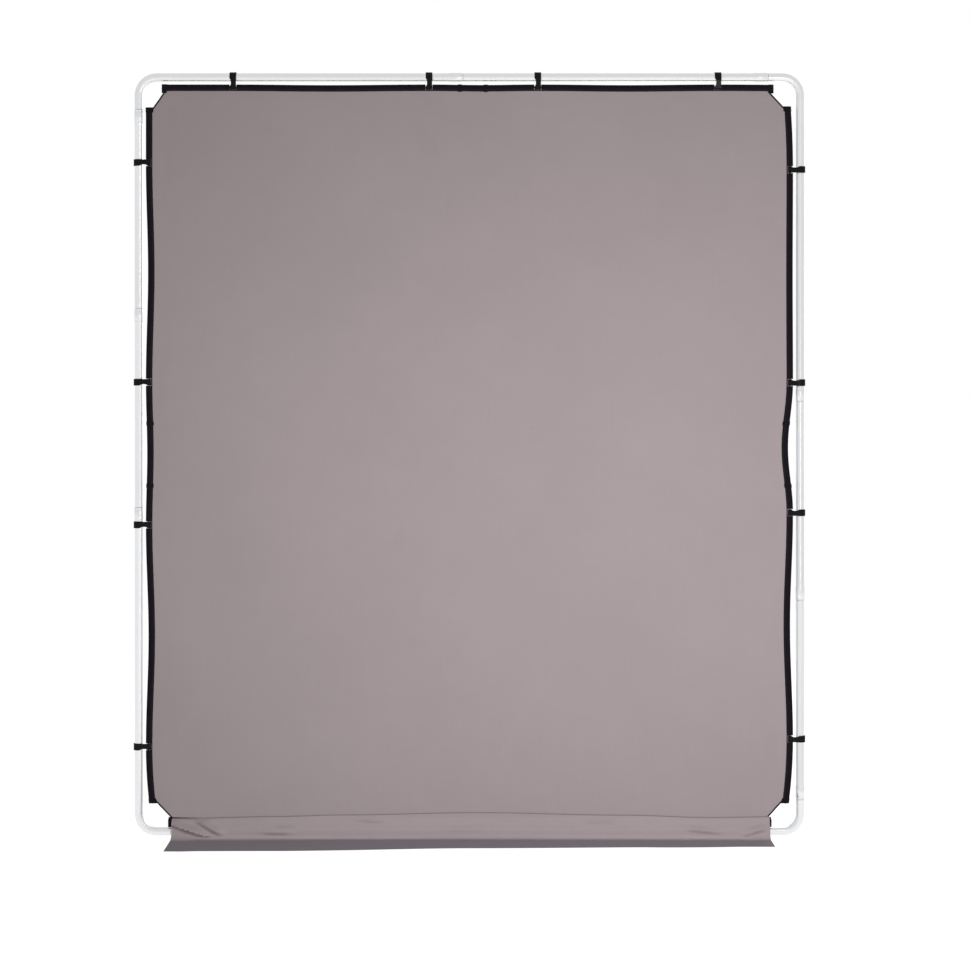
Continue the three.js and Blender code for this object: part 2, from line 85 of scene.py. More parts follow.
def colour(name, description, default):
    return FloatVectorProperty(
        name=name, description=description, default=default, subtype="COLOR", min=0, max=1
    )


class TubeSettings(PropertyGroup):
    diameter: length("Tube diameter", "Outside diameter of the frame tubes", 25.4 * MM)
    wall: length("Wall", "Wall thickness of the tubes", 1.4 * MM)
    socket: length("Socket diameter", "Outside diameter of the belled joints", 27.4 * MM)
    socket_length: length("Socket length", "Length of the belled joints", 40 * MM)
    bend: length("Bend radius", "Corner bend, on the centreline", 54 * MM)
    sides: IntProperty(name="Sides", description="Facets round a tube", default=40, min=12)


class CoverSettings(PropertyGroup):
    cloth: colour("Cloth", "Colour of the background cloth", (0.352, 0.297, 0.305))
    tape: colour("Tape", "Colour of the black edge tape", (0.0075, 0.0055, 0.0085))
    cell: length("Cell", "Size of the cloth's mesh cells", 16 * MM)
    ripple: length("Ripple", "How far the stretched cloth waves out of flat", 1.6 * MM)
    stitch_pitch: length("Stitch pitch", "Distance from one stitch to the next", 6 * MM)


class ClipSettings(PropertyGroup):
    width: length("Clip width", "Width of the hook along the tube", 20 * MM)
    neck: length("Neck width", "Width of the strap between hook and batten", 15.5 * MM)
    wall: length("Clip wall", "Thickness of the hook", 3.2 * MM)
    tail: length("Tail", "Straight end of the hook behind the tube", 7 * MM)
    ribs: IntProperty(name="Grip ribs", description="Ribs across the hook", default=3, min=0)


class FootSettings(PropertyGroup):
    bar: length("Bar diameter", "Diameter of the foot bars", 19 * MM)
    lobes: IntProperty(name="Knob lobes", description="Lobes round each knob", default=6, min=3)


class StageSettings(PropertyGroup):
    distance: length("Camera distance", "From the camera to the plane of the frame", 7.0)
    height: length("Camera height", "Camera above the floor", 1.41)
    lens: FloatProperty(name="Lens", description="Focal length", default=86.0, unit="CAMERA")
    shift: FloatVectorProperty(
        name="Shift", description="Lens shift across and up", size=2, default=(0.016, -0.119)
    )


SETTINGS = {
    "bg_tubes": TubeSettings,
    "bg_cover": CoverSettings,
    "bg_clips": ClipSettings,
    "bg_feet": FootSettings,
    "bg_stage": StageSettings,
}


def setting(group):
    return getattr(bpy.context.scene, group)


# ---- Places taken from the frame ---------------------------------------------------------------


def side_frames():
    """Each side's frame: origin at the middle of its tube, X clockwise, Y back, Z outwards."""
    r = setting("bg_tubes").diameter / 2
    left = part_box("corner_tube_top_left")[0].x + r
    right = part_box("corner_tube_bottom_right")[1].x - r
    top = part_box("corner_tube_top_right")[1].z - r
    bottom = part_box("corner_tube_bottom_left")[0].z + r
    low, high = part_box("top_tube")
    depth, middle = (low.y + high.y) / 2, (top + bottom) / 2
    places = {
        "top": (0, top), "right": (right, middle), "bottom": (0, bottom), "left": (left, middle)
    }
    return {
        side: Matrix.Translation((x, depth, z)) @ Matrix.Rotation(turn * QUARTER, 4, "Y")
        for turn, (side, (x, z)) in enumerate(places.items())
    }


def local_box(node, place):
    """Lowest and highest corner of a CAD node in a side's frame."""
    corners = [place.inverted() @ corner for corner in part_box(node)]
    return (
        Vector(map(min, *corners)),
        Vector(map(max, *corners)),
    )


def clip_places(side, place):
    """(CAD node, X along the side) of each clip of a side, in order along it."""
    hinges = [joint for joint in frame["joints"] if joint["name"].startswith(f"clip_{side}_")]
    names = [joint["child"] for joint in hinges]
    found = []
    for name in names:
        low, high = local_box(name, place)
        found.append((name, (low.x + high.x) / 2))
    return sorted(found, key=lambda clip: clip[1])


# How far each edge bows inwards in the spans before, between and after its clips, clockwise.
SAG = {
    "top": (0, 2 * MM, 1.5 * MM, 2 * MM, 1 * MM),
    "right": (7 * MM, 1 * MM, 15 * MM, 9 * MM, 13 * MM),
    "bottom": (3 * MM, 2 * MM, 2 * MM, 2 * MM, 3 * MM),
    "left": (10 * MM, 8 * MM, 4 * MM, 6.5 * MM, 0),
}


class Edge:
    """One sewn edge of the cover, in the frame of its side."""

    def __init__(self, side, place):
        self.side, self.place = side, place
        low, high = local_box(f"edge_sleeve_{side}", place)
        self.start, self.end = low.x, high.x
        self.middle = (low.z + high.z) / 2
        self.clips = clip_places(side, place)

    def sag(self, x):
        knots = [self.start] + [at for _, at in self.clips] + [self.end]
        x = min(max(x, self.start), self.end)
        for span, (a, b) in enumerate(zip(knots, knots[1:])):
            if x <= b:
                break
        part = (x - a) / (b - a)
        if span == 0:
            share = (1 - part) ** 2
        elif span == len(knots) - 2:
            share = part ** 2
        else:
            share = math.sin(math.pi * part) ** 2
        return SAG[self.side][span] * share

    def at(self, x, y, z):
        """A point of the edge: z is outwards from the middle of the sleeve."""
        return self.place @ Vector((x, COVER_Y + y, self.middle + z - self.sag(x)))


def edges():
    return {side: Edge(side, place) for side, place in side_frames().items()}


# ---- Mesh helpers ------------------------------------------------------------------------------


def keep_lie(bm):
    """Stores where each point is before the piece is bent or placed, for its patterns."""
    layers = bm.verts.layers.float_vector
    layer = layers.get("lie") or layers.new("lie")
    for vert in bm.verts:
        vert[layer] = vert.co


def spun(profile, closed=True, sides=40):
    """A solid of revolution about X from (x, radius) points."""
    bm = bmesh.new()
    verts = [bm.verts.new((x, 0, r)) for x, r in profile]
    lines = [bm.edges.new(pair) for pair in zip(verts, verts[1:])]
    if closed:
        lines.append(bm.edges.new((verts[-1], verts[0])))
    bmesh.ops.spin(
        bm, geom=verts + lines, cent=(0, 0, 0), axis=(1, 0, 0),
        angle=math.tau, steps=sides, use_merge=True,
    )
    bmesh.ops.remove_doubles(bm, verts=bm.verts, dist=1e-6)
    bmesh.ops.recalc_face_normals(bm, faces=bm.faces)
    keep_lie(bm)
    return bm


def mapped_grid(us, vs, shape, lie=None):
    """A grid laid out by shape(u, v) over the values in us and vs."""
    bm = bmesh.new()
    bmesh.ops.create_grid(bm, x_segments=len(us) - 1, y_segments=len(vs) - 1, size=0.5)
    layer = bm.verts.layers.float_vector.new("lie")
    for vert in bm.verts:
        u = us[round((vert.co.x + 0.5) * (len(us) - 1))]
        v = vs[round((vert.co.y + 0.5) * (len(vs) - 1))]
        vert[layer] = lie(u, v) if lie else (u, v, 0)
        vert.co = shape(u, v)
    return bm


def spread(a, b, step):
    """Even values from a to b, about step apart."""
    count = max(1, round(abs(b - a) / step))
    return [a + (b - a) * i / count for i in range(count + 1)]


def place_by(bm, matrix):
    bmesh.ops.transform(bm, matrix=matrix, verts=bm.verts)


def soften(bm, width, segments=2, limit=40):
    """Bevels every edge sharper than limit degrees."""
    sharp = [
        edge for edge in bm.edges
        if len(edge.link_faces) == 2 and edge.calc_face_angle() > math.radians(limit)
    ]
    bmesh.ops.bevel(
        bm, geom=sharp, offset=width, affect="EDGES", segments=segments, profile=0.5,
        material=-1, clamp_overlap=True,
    )


def thicken(bm, thickness):
    """Gives a sheet a thickness, centred on where it was."""
    bm.normal_update()
    for vert in bm.verts:
        vert.co += vert.normal * thickness / 2
    bmesh.ops.solidify(bm, geom=bm.faces[:], thickness=thickness)
    bmesh.ops.recalc_face_normals(bm, faces=bm.faces)


def closed_up(bm):
    """Joins the first and last lines of a grid bent into a tube, and caps its ends."""
    bmesh.ops.remove_doubles(bm, verts=bm.verts, dist=1e-7)
    rims = [edge for edge in bm.edges if edge.is_boundary]
    bmesh.ops.holes_fill(bm, edges=rims, sides=0)
    bmesh.ops.recalc_face_normals(bm, faces=bm.faces)
    return bm


def absorb(bm, part):
    """Adds another mesh to bm."""
    mesh = bpy.data.meshes.new("part")
    part.to_mesh(mesh)
    part.free()
    bm.from_mesh(mesh)
    bpy.data.meshes.remove(mesh)


def add_piece(name, bm, slot, replaces=(), body=ROOT, look=None):
    """Makes bm a piece that rides on body, with the finish of its slot or its own look."""
    for face in bm.faces:
        face.smooth = True
    for edge in bm.edges:
        if len(edge.link_faces) == 2:
            edge.smooth = edge.calc_face_angle() < math.radians(35)
    mesh = bpy.data.meshes.new(name)
    bm.to_mesh(mesh)
    bm.free()
    mesh.materials.append(finish(look or slot))
    piece = bpy.data.objects.new(name, mesh)
    bpy.context.scene.collection.objects.link(piece)
    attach(piece, body)
    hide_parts(*replaces)
    return piece


# ---- Shader helpers ----------------------------------------------------------------------------


class Wire:
    """A shader socket that adds its own Math nodes when it is used in an expression."""

    def __init__(self, finish, socket):
        self.finish, self.socket = finish, socket

    def maths(self, operation, a, b=0.0):
        return self.finish.node("ShaderNodeMath", {"operation": operation}, {0: a, 1: b}).out(0)

    def __add__(self, other):
        return self.maths("ADD", self, other)

    def __radd__(self, other):
        return self.maths("ADD", other, self)

    def __sub__(self, other):
        return self.maths("SUBTRACT", self, other)

    def __rsub__(self, other):
        return self.maths("SUBTRACT", other, self)

    def __mul__(self, other):
        return self.maths("MULTIPLY", self, other)

    def __rmul__(self, other):
        return self.maths("MULTIPLY", other, self)

    def __pow__(self, other):
        return self.maths("POWER", self, other)

    def sine(self):
        return self.maths("SINE", self)

    def absolute(self):
        return self.maths("ABSOLUTE", self)

    def clamp(self):
        return self.finish.node("ShaderNodeClamp", {}, {0: self}).out(0)


class Node:
    def __init__(self, finish, node):
        self.finish, self.node = finish, node

    def out(self, socket):
        return Wire(self.finish, self.node.outputs[socket])


class Finish:
    """A material with one Principled shader."""

    def __init__(self, name, base, roughness, metallic=0.0, fixed=None):
        self.material = bpy.data.materials.new(name)
        self.material.use_nodes = True
        self.tree = self.material.node_tree
        self.shader = self.tree.nodes["Principled BSDF"]
        self.base = (*base[:3], 1.0)
        self.feed({"Base Color": self.base, "Roughness": roughness, "Metallic": metallic})
        self.feed(fixed or {})

    def feed(self, inputs):
        for socket, value in inputs.items():
            self.join(self.shader.inputs[socket], value)

    def join(self, socket, value):
        if isinstance(value, Wire):
            self.tree.links.new(value.socket, socket)
        else:
            socket.default_value = value

    def node(self, kind, settings=None, inputs=None):
        node = self.tree.nodes.new(kind)
        for key, value in (settings or {}).items():
            setattr(node, key, value)
        for socket, value in (inputs or {}).items():
            self.join(node.inputs[socket], value)
        return Node(self, node)

    def place(self):
        """Where a point is on the object."""
        return self.node("ShaderNodeTexCoord").out("Object")

    def lie(self):
        """Where a point was before its piece was bent and placed."""
        return self.node("ShaderNodeAttribute", {"attribute_name": "lie"}).out("Vector")

    def axis(self, vector, letter):
        return self.node("ShaderNodeSeparateXYZ", {}, {0: vector}).out(letter)

    def stretched(self, vector, scale):
        return self.node("ShaderNodeMapping", {}, {"Vector": vector, "Scale": scale}).out(0)

    def noise(self, vector, scale, detail=3.0, rough=0.5):
        inputs = {"Vector": vector, "Scale": scale, "Detail": detail, "Roughness": rough}
        return self.node("ShaderNodeTexNoise", {}, inputs).out(0)

    def ramp(self, value, low, high):
        """0 below low, 1 above high, smooth between."""
        settings = {"interpolation_type": "SMOOTHSTEP"}
        return self.node("ShaderNodeMapRange", settings, {0: value, 1: low, 2: high}).out(0)

    def mix(self, factor, a, b):
        return self.node("ShaderNodeMix", {"data_type": "RGBA"}, {0: factor, 6: a, 7: b}).out(2)

    def shade(self, factor, low, high):
        """The base colour, made darker and lighter by factor."""
        tint = lambda k: (*[min(1.0, c * k) for c in self.base[:3]], 1.0)
        return self.mix(factor, tint(low), tint(high))

    def bump(self, height, strength, depth):
        inputs = {"Height": height, "Strength": strength, "Distance": depth}
        self.feed({"Normal": self.node("ShaderNodeBump", {}, inputs).out(0)})


DULL = {"Specular IOR Level": 0.08}
def make_satin_aluminium():
    made = Finish("satin_aluminium", (0.81, 0.815, 0.825), 0.3, 1.0)
    lie = made.lie()
    drawn = made.noise(made.stretched(lie, (6, 900, 900)), 1.0, 2.0)
    clouds = made.noise(lie, 9.0, 3.0)
    scuffs = made.ramp(made.noise(made.stretched(lie, (60, 420, 420)), 1.0, 5.0), 0.66, 0.74)
    made.feed({
        "Base Color": made.shade(drawn * 0.5 + clouds * 0.5, 0.93, 1.03),
        "Roughness": 0.24 + drawn * 0.12 + clouds * 0.06 + scuffs * 0.18,
    })
    made.bump(drawn + scuffs * -0.4, 0.12, 0.2 * MM)
    return made


def weave(made, where, pitch):
    """Height of a plain weave with crossing threads, from two axes of where."""
    turns = math.tau / (2 * pitch)
    warp = (made.axis(where, "X") * turns).sine()
    weft = (made.axis(where, "Y") * turns).sine()
    return warp * weft * 0.5 + 0.5


def make_backdrop_cloth():
    base = setting("bg_cover").cloth
    made = Finish("backdrop_cloth", base, 0.92, 0.0, {"Sheen Weight": 0.06, **DULL})
    lie = made.lie()
    threads = weave(made, lie, 0.55 * MM)
    slub_up = made.noise(made.stretched(lie, (240, 5, 1)), 1.0, 4.0, 0.62)
    slub_across = made.noise(made.stretched(lie, (7, 260, 1)), 1.0, 4.0, 0.62)
    mottle = made.noise(lie, 2.6, 5.0, 0.55)
    dye = made.noise(lie, 14.0, 4.0, 0.6)
    tone = mottle * 0.42 + dye * 0.16 + slub_up * 0.24 + slub_across * 0.18
    # Painted shade: the skirt's lowest part, which lies on the floor, is given a darker and cooler
    # tone that stands in for the shade it gets from the light.
    height = made.axis(lie, "Y") + dye * (8 * MM) - 4 * MM
    floor_shade_mask = 1 - made.ramp(height, -34 * MM, -2 * MM)
    # The colour of the painted shade, darker and cooler than the cloth.
    darker = [channel * part for channel, part in zip(base, (0.62, 0.66, 0.74))]
    made.feed({
        "Base Color": made.mix(floor_shade_mask, made.shade(tone, 0.86, 1.14), (*darker, 1)),
        "Roughness": 0.86 + threads * 0.1,
    })
    made.bump(threads * 0.7 + slub_up * 0.5 + slub_across * 0.4, 0.22, 0.25 * MM)
    return made


def stitches(made, along, across, rows, pitch):
    """1 on the threads of stitched rows, 0 elsewhere."""
    dashes = made.ramp((along * (math.tau / pitch)).sine(), -0.5, -0.2)
    found = 0.0
    for row in rows:
        away = (across - row).absolute()
        found = found + (1 - made.ramp(away, 0.25 * MM, 0.5 * MM))
    return (found * dashes).clamp()


def make_black_webbing():
    made = Finish("black_webbing", setting("bg_cover").tape, 0.8, 0.0, DULL)
    lie = made.lie()
    ribs = (made.axis(lie, "X") * (math.tau / (1.3 * MM))).sine() * 0.5 + 0.5
    threads = weave(made, lie, 0.5 * MM)
    lint = made.ramp(made.noise(lie, 900.0, 2.0), 0.62, 0.8)
    fade = made.noise(lie, 30.0, 3.0)
    near, far = 2.5 * MM, 4.5 * MM
    rows = (near, far, SLEEVE_GIRTH - far, SLEEVE_GIRTH - near)
    pitch = setting("bg_cover").stitch_pitch
    sewn = stitches(made, made.axis(lie, "X"), made.axis(lie, "Y"), rows, pitch)
    tape = made.mix(lint * 0.35, made.shade(fade, 0.75, 1.5), (0.03, 0.027, 0.032, 1))
    made.feed({
        "Base Color": made.mix(sewn, tape, (0.028, 0.025, 0.03, 1)),
        "Roughness": 0.68 + threads * 0.2,
    })
    made.bump(ribs * 0.5 + threads * 0.3 + sewn, 0.5, 0.3 * MM)
    return made


def make_seam_thread():
    base = [channel * 0.66 for channel in setting("bg_cover").cloth]
    made = Finish("seam_thread", base, 0.75, 0.0, DULL)
    twist = made.noise(made.stretched(made.place(), (900, 900, 900)), 1.0, 2.0)
    made.feed({"Base Color": made.shade(twist, 0.85, 1.15), "Roughness": 0.65 + twist * 0.2})
    return made


def make_gloss_black():
    made = Finish("gloss_black", (0.004, 0.004, 0.0045), 0.16, 0.0, {"Specular IOR Level": 0.1})
    lie = made.lie()
    haze = made.noise(lie, 160.0, 4.0)
    rubs = made.ramp(made.noise(made.stretched(lie, (90, 700, 700)), 1.0, 4.0), 0.6, 0.75)
    made.feed({
        "Base Color": made.shade(haze, 0.6, 1.6),
        "Roughness": 0.12 + haze * 0.1 + rubs * 0.22,
    })
    made.bump(haze, 0.05, 0.15 * MM)
    return made


def make_fibreglass():
    made = Finish("fibreglass", (0.72, 0.69, 0.58), 0.4)
    strands = made.noise(made.stretched(made.lie(), (12, 1800, 1800)), 1.0, 3.0)
    made.feed({"Base Color": made.shade(strands, 0.8, 1.15), "Roughness": 0.3 + strands * 0.25})
    made.bump(strands, 0.2, 0.1 * MM)
    return made


def make_shock_cord():
    made = Finish("shock_cord", (0.02, 0.02, 0.022), 0.75)
    braid = made.noise(made.place(), 700.0, 2.0)
    made.feed({"Base Color": made.shade(braid, 0.5, 1.8), "Roughness": 0.6 + braid * 0.3})
    made.bump(braid, 0.5, 0.4 * MM)
    return made


def make_powder_coat():
    made = Finish("powder_coat", (0.022, 0.023, 0.026), 0.42)
    peel = made.noise(made.place(), 900.0, 3.0)
    dust = made.noise(made.place(), 40.0, 4.0)
    made.feed({
        "Base Color": made.shade(dust, 0.75, 1.35),
        "Roughness": 0.34 + peel * 0.12 + dust * 0.12,
    })
    made.bump(peel, 0.25, 0.3 * MM)
    return made


def make_foot_rubber():
    made = Finish("foot_rubber", (0.018, 0.018, 0.018), 0.85)
    grain = made.noise(made.place(), 600.0, 4.0)
    dust = made.ramp(made.noise(made.place(), 60.0, 4.0), 0.45, 0.75)
    made.feed({
        "Base Color": made.mix(dust * 0.3, made.shade(grain, 0.7, 1.4), (0.11, 0.105, 0.1, 1)),
        "Roughness": 0.72 + grain * 0.2,
    })
    made.bump(grain, 0.3, 0.3 * MM)
    return made


def make_knob_plastic():
    made = Finish("knob_plastic", (0.025, 0.025, 0.027), 0.5)
    spark = made.noise(made.place(), 1500.0, 2.0)
    wear = made.noise(made.place(), 70.0, 4.0)
    made.feed({
        "Base Color": made.shade(wear, 0.7, 1.5),
        "Roughness": 0.42 + spark * 0.12 + wear * 0.1,
    })
    made.bump(spark, 0.35, 0.2 * MM)
    return made


MAKERS = {
    "tube_aluminium": make_satin_aluminium,
    "backdrop_cloth": make_backdrop_cloth,
    "black_webbing": make_black_webbing,
    "gloss_black_plastic": make_gloss_black,
    "fibreglass": make_fibreglass,
    "shock_cord": make_shock_cord,
    "black_steel": make_powder_coat,
    "foot_rubber": make_foot_rubber,
    "knob_plastic": make_knob_plastic,
    "seam_thread": make_seam_thread,
}
FINISHES = {}


def finish(name):
    """The finish of a material slot, made once, when the first piece asks for it."""
    if name not in FINISHES:
        FINISHES[name] = MAKERS[name]().material
    return FINISHES[name]


# ---- Operators ---------------------------------------------------------------------------------


class BuildStep:
    bl_options = {"REGISTER", "UNDO"}


class BACKGROUND_OT_stage(BuildStep, Operator):
    """Add the floor, the soft lights and the camera"""

    bl_idname = "background.stage"
    bl_label = "Stage"

    def execute(self, context):
        stage = setting("bg_stage")
        plane = side_frames()["top"].translation.y
        self.floor()
        self.light("key_light", (0.6, plane - 2.7, 0.95), (0.4, plane, 0.95), (2.6, 0.7), 75)
        self.light("glint_light", (1.2, plane - 3.0, 1.6), (0, plane, 1.1), (0.5, 0.5), 4)
        self.light("back_light", (1.6, plane + 3.6, 2.2), (0, plane, 1.1), (2.6, 2.6), 60)
        self.sky(context.scene)
        data = bpy.data.cameras.new("camera")
        data.lens = stage.lens
        data.shift_x, data.shift_y = stage.shift
        camera = bpy.data.objects.new("camera", data)
        camera.location = (0, plane - stage.distance, stage.height)
        camera.rotation_euler = (QUARTER, 0, 0)
        context.scene.collection.objects.link(camera)
        context.scene.camera = camera
        context.scene.view_settings.view_transform = "Standard"
        return {"FINISHED"}

    def floor(self):
        bm = bmesh.new()
        bmesh.ops.create_grid(bm, x_segments=1, y_segments=1, size=60)
        mesh = bpy.data.meshes.new("floor")
        bm.to_mesh(mesh)
        bm.free()
        made = Finish("pale_floor", (0.3, 0.3, 0.3), 0.6, 0.0, {"Emission Strength": 0.88, **DULL})
        made.feed({"Emission Color": (1, 1, 1, 1)})
        mesh.materials.append(made.material)
        floor = bpy.data.objects.new("floor", mesh)
        floor.visible_diffuse = False
        bpy.context.scene.collection.objects.link(floor)

    def light(self, name, where, target, size, power):
        data = bpy.data.lights.new(name, "AREA")
        data.shape = "RECTANGLE"
        data.size, data.size_y = size
        data.energy = power
        lamp = bpy.data.objects.new(name, data)
        lamp.visible_glossy = name != "key_light"
        lamp.location = where
        lamp.rotation_euler = (Vector(target) - Vector(where)).to_track_quat("-Z", "Y").to_euler()
        bpy.context.scene.collection.objects.link(lamp)

    def sky(self, scene):
        """Soft light all round, plain white to the camera and nearly white in reflections."""
        world = bpy.data.worlds.new("studio")
        world.use_nodes = True
        tree = world.node_tree
        sky = tree.nodes["Background"]
        sky.inputs["Color"].default_value = (1, 1, 1, 1)
        path = tree.nodes.new("ShaderNodeLightPath")
        seen, mirrored = path.outputs["Is Camera Ray"], path.outputs["Is Glossy Ray"]
        level = SOFT_LIGHT
        for share, strength in ((mirrored, 0.85), (seen, 1.0)):
            mix = tree.nodes.new("ShaderNodeMix")
            mix.inputs["B"].default_value = strength
            tree.links.new(share, mix.inputs["Factor"])
            if isinstance(level, float):
                mix.inputs["A"].default_value = level
            else:
                tree.links.new(level, mix.inputs["A"])
            level = mix.outputs["Result"]
        tree.links.new(level, sky.inputs["Strength"])
        scene.world = world


class BACKGROUND_OT_tubes(BuildStep, Operator):
    """Build the ten push-together sections of the tube frame"""

    bl_idname = "background.tubes"
    bl_label = "Frame tubes"

    def execute(self, context):
        places, sides = side_frames(), setting("bg_tubes").sides
        corner = Vector((places["left"].translation.x, 0, places["top"].translation.z))
        low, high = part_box("corner_tube_top_left")
        short, long = corner.z - low.z - SPIGOT, high.x - corner.x
        names = ["top_left", "top_right", "bottom_right", "bottom_left"]
        for turn, name in enumerate(names):
            self.corner(name, turn, short, long, places)
        for side, place in places.items():
            for node in frame["nodes"]:
                if node.startswith(f"{side}_tube"):
                    low, high = local_box(node, place)
                    bm = spun(self.profile(high.x - low.x - SPIGOT), sides=sides)
                    place_by(bm, place @ Matrix.Translation((low.x + SPIGOT, 0, 0)))
                    add_piece(f"{node}_satin", bm, "tube_aluminium", [node])
        return {"FINISHED"}

    def profile(self, length, stations=()):
        """Closed outline of a section from its spigot, at X below 0, to its socket mouth."""
        tube = setting("bg_tubes")
        r, mouth = tube.diameter / 2, tube.socket / 2
        bore = r - tube.wall
        spigot = bore - 0.4 * MM
        neck = length - tube.socket_length
        outside = [
            (-SPIGOT + 1.2 * MM, spigot), (-0.3 * MM, spigot), (0, r - 0.7 * MM), (0.7 * MM, r),
            *[(x, r) for x in stations],
            (neck - 4 * MM, r), (neck - 1 * MM, mouth - 0.15 * MM), (neck + 1 * MM, mouth),
            *self.groove(neck + 3 * MM, mouth), *self.groove(length - 5 * MM, mouth),
            (length - 1 * MM, mouth), (length - 0.3 * MM, mouth - 0.3 * MM),
            (length, mouth - 0.9 * MM),
        ]
        inside = [
            (length, bore + 0.5 * MM), (length - 0.8 * MM, bore),
            *[(x, bore) for x in reversed(stations)],
            (1 * MM, bore), (-1 * MM, spigot - tube.wall),
            (-SPIGOT + 0.4 * MM, spigot - tube.wall), (-SPIGOT, spigot - tube.wall + 0.3 * MM),
            (-SPIGOT, spigot - 0.5 * MM),
        ]
        return outside + inside

    def groove(self, x, r):
        depth, half = 0.35 * MM, 0.6 * MM
        return [(x - half, r), (x, r - depth), (x + half, r)]

    def corner(self, name, turn, short, long, places):
        tube = setting("bg_tubes")
        bend, straight = tube.bend, short - tube.bend
        arc = bend * QUARTER
        stations = [straight + arc * step / 18 for step in range(19)]
        total = straight + arc + long - bend
        bm = spun(self.profile(total, stations), sides=tube.sides)
        centre = Vector((bend, 0, -bend))
        for vert in bm.verts:
            x, y, z = vert.co
            angle = min(max((x - straight) / bend, 0), QUARTER)
            outward = Vector((-math.cos(angle), 0, math.sin(angle)))
            heading = Vector((math.sin(angle), 0, math.cos(angle)))
            beyond = x - straight - angle * bend
            vert.co = centre + outward * (bend + z) + heading * beyond + Vector((0, y, 0))
        side_x = places["left" if "left" in name else "right"].translation.x
        side_z = places["top" if "top" in name else "bottom"].translation
        place_by(bm, Matrix.Translation((side_x, side_z.y, side_z.z)) @ Matrix.Rotation(
            turn * QUARTER, 4, "Y"))
        node = f"corner_tube_{name}"
        add_piece(f"{node}_satin", bm, "tube_aluminium", [node])


def sleeve_half_depth(z):
    """Half the depth of a sleeve: flat at its sewn edges and raised over the batten."""
    return 1.25 * MM + 3.0 * MM * math.exp(-((z / (4.2 * MM)) ** 2))


def sleeve_section(v, grow=0.0, reach=0.0):
    """(y, z) round a sleeve from its front hem, v from 0, over the outer fold, to its back hem."""
    fold = 0.12
    front = 0.5 - fold
    inner, outer = -SLEEVE_HALF - reach, SLEEVE_HALF - 1.25 * MM
    if abs(v - 0.5) <= fold:
        angle = (v - 0.5) / fold * QUARTER
        depth = sleeve_half_depth(outer) + grow
        return depth * math.sin(angle), outer + (1.25 * MM + grow) * math.cos(angle)
    back = v > 0.5
    part = (1 - v if back else v) / front
    z = inner + (outer - inner) * part
    depth = sleeve_half_depth(max(z, -SLEEVE_HALF)) + grow
    return (depth if back else -depth), z


class BACKGROUND_OT_sleeves(BuildStep, Operator):
    """Sew the black edge sleeves, with a window at each clip and a folded tab at each end"""

    bl_idname = "background.sleeves"
    bl_label = "Edge sleeves"

    def execute(self, context):
        for side, edge in edges().items():
            self.sleeve(side, edge)
            for end, sign in ((edge.start, -1), (edge.end, 1)):
                self.end_tab(side, edge, end, sign)
        return {"FINISHED"}

    def sleeve(self, side, edge):
        half = setting("bg_clips").width / 2 + 0.5 * MM
        cuts = sorted(x + sign * half for _, x in edge.clips for sign in (-1, 1))
        knots = [edge.start] + cuts + [edge.end]
        us = [edge.start]
        for a, b in zip(knots, knots[1:]):
            us += spread(a, b, 16 * MM)[1:]
        vs = [i / 30 for i in range(31)]
        bm = mapped_grid(
            us, vs, lambda u, v: Vector((u, *sleeve_section(v))),
            lambda u, v: (u, v * SLEEVE_GIRTH, 0),
        )
        windows = [
            face for face in bm.faces
            if any(abs(face.calc_center_median().x - x) < half for _, x in edge.clips)
            and face.calc_center_median().z > -6.2 * MM
        ]
        bmesh.ops.delete(bm, geom=windows, context="FACES")
        for vert in bm.verts:
            vert.co = edge.at(*vert.co)
        thicken(bm, TAPE)
        piece = add_piece(f"sleeve_{side}", bm, "black_webbing", [f"edge_sleeve_{side}"])

    def end_tab(self, side, edge, end, sign):
        """A square tab folded over the end of a sleeve and the corner of the cloth."""
        reach, over = 15 * MM, 1.4 * MM
        inner = {"top": 6 * MM, "bottom": -7 * MM}.get(side, 3 * MM)
        outer = 11 * MM if side == "bottom" else 1 * MM
        us = spread(-1, 1, 0.125)
        vs = spread(-SLEEVE_HALF - inner, SLEEVE_HALF + outer, 2 * MM)

        def shape(u, v):
            depth = sleeve_half_depth(max(v, -SLEEVE_HALF)) + 1.0 * MM
            turn = u * QUARTER
            along = end - sign * (reach - over - (reach * math.cos(turn) ** 0.35))
            return edge.at(along, depth * math.copysign(abs(math.sin(turn)) ** 0.4, u), v)

        bm = mapped_grid(us, vs, shape)
        thicken(bm, TAPE)
        add_piece(f"sleeve_tab_{side}_{'start' if sign < 0 else 'end'}", bm, "black_webbing")


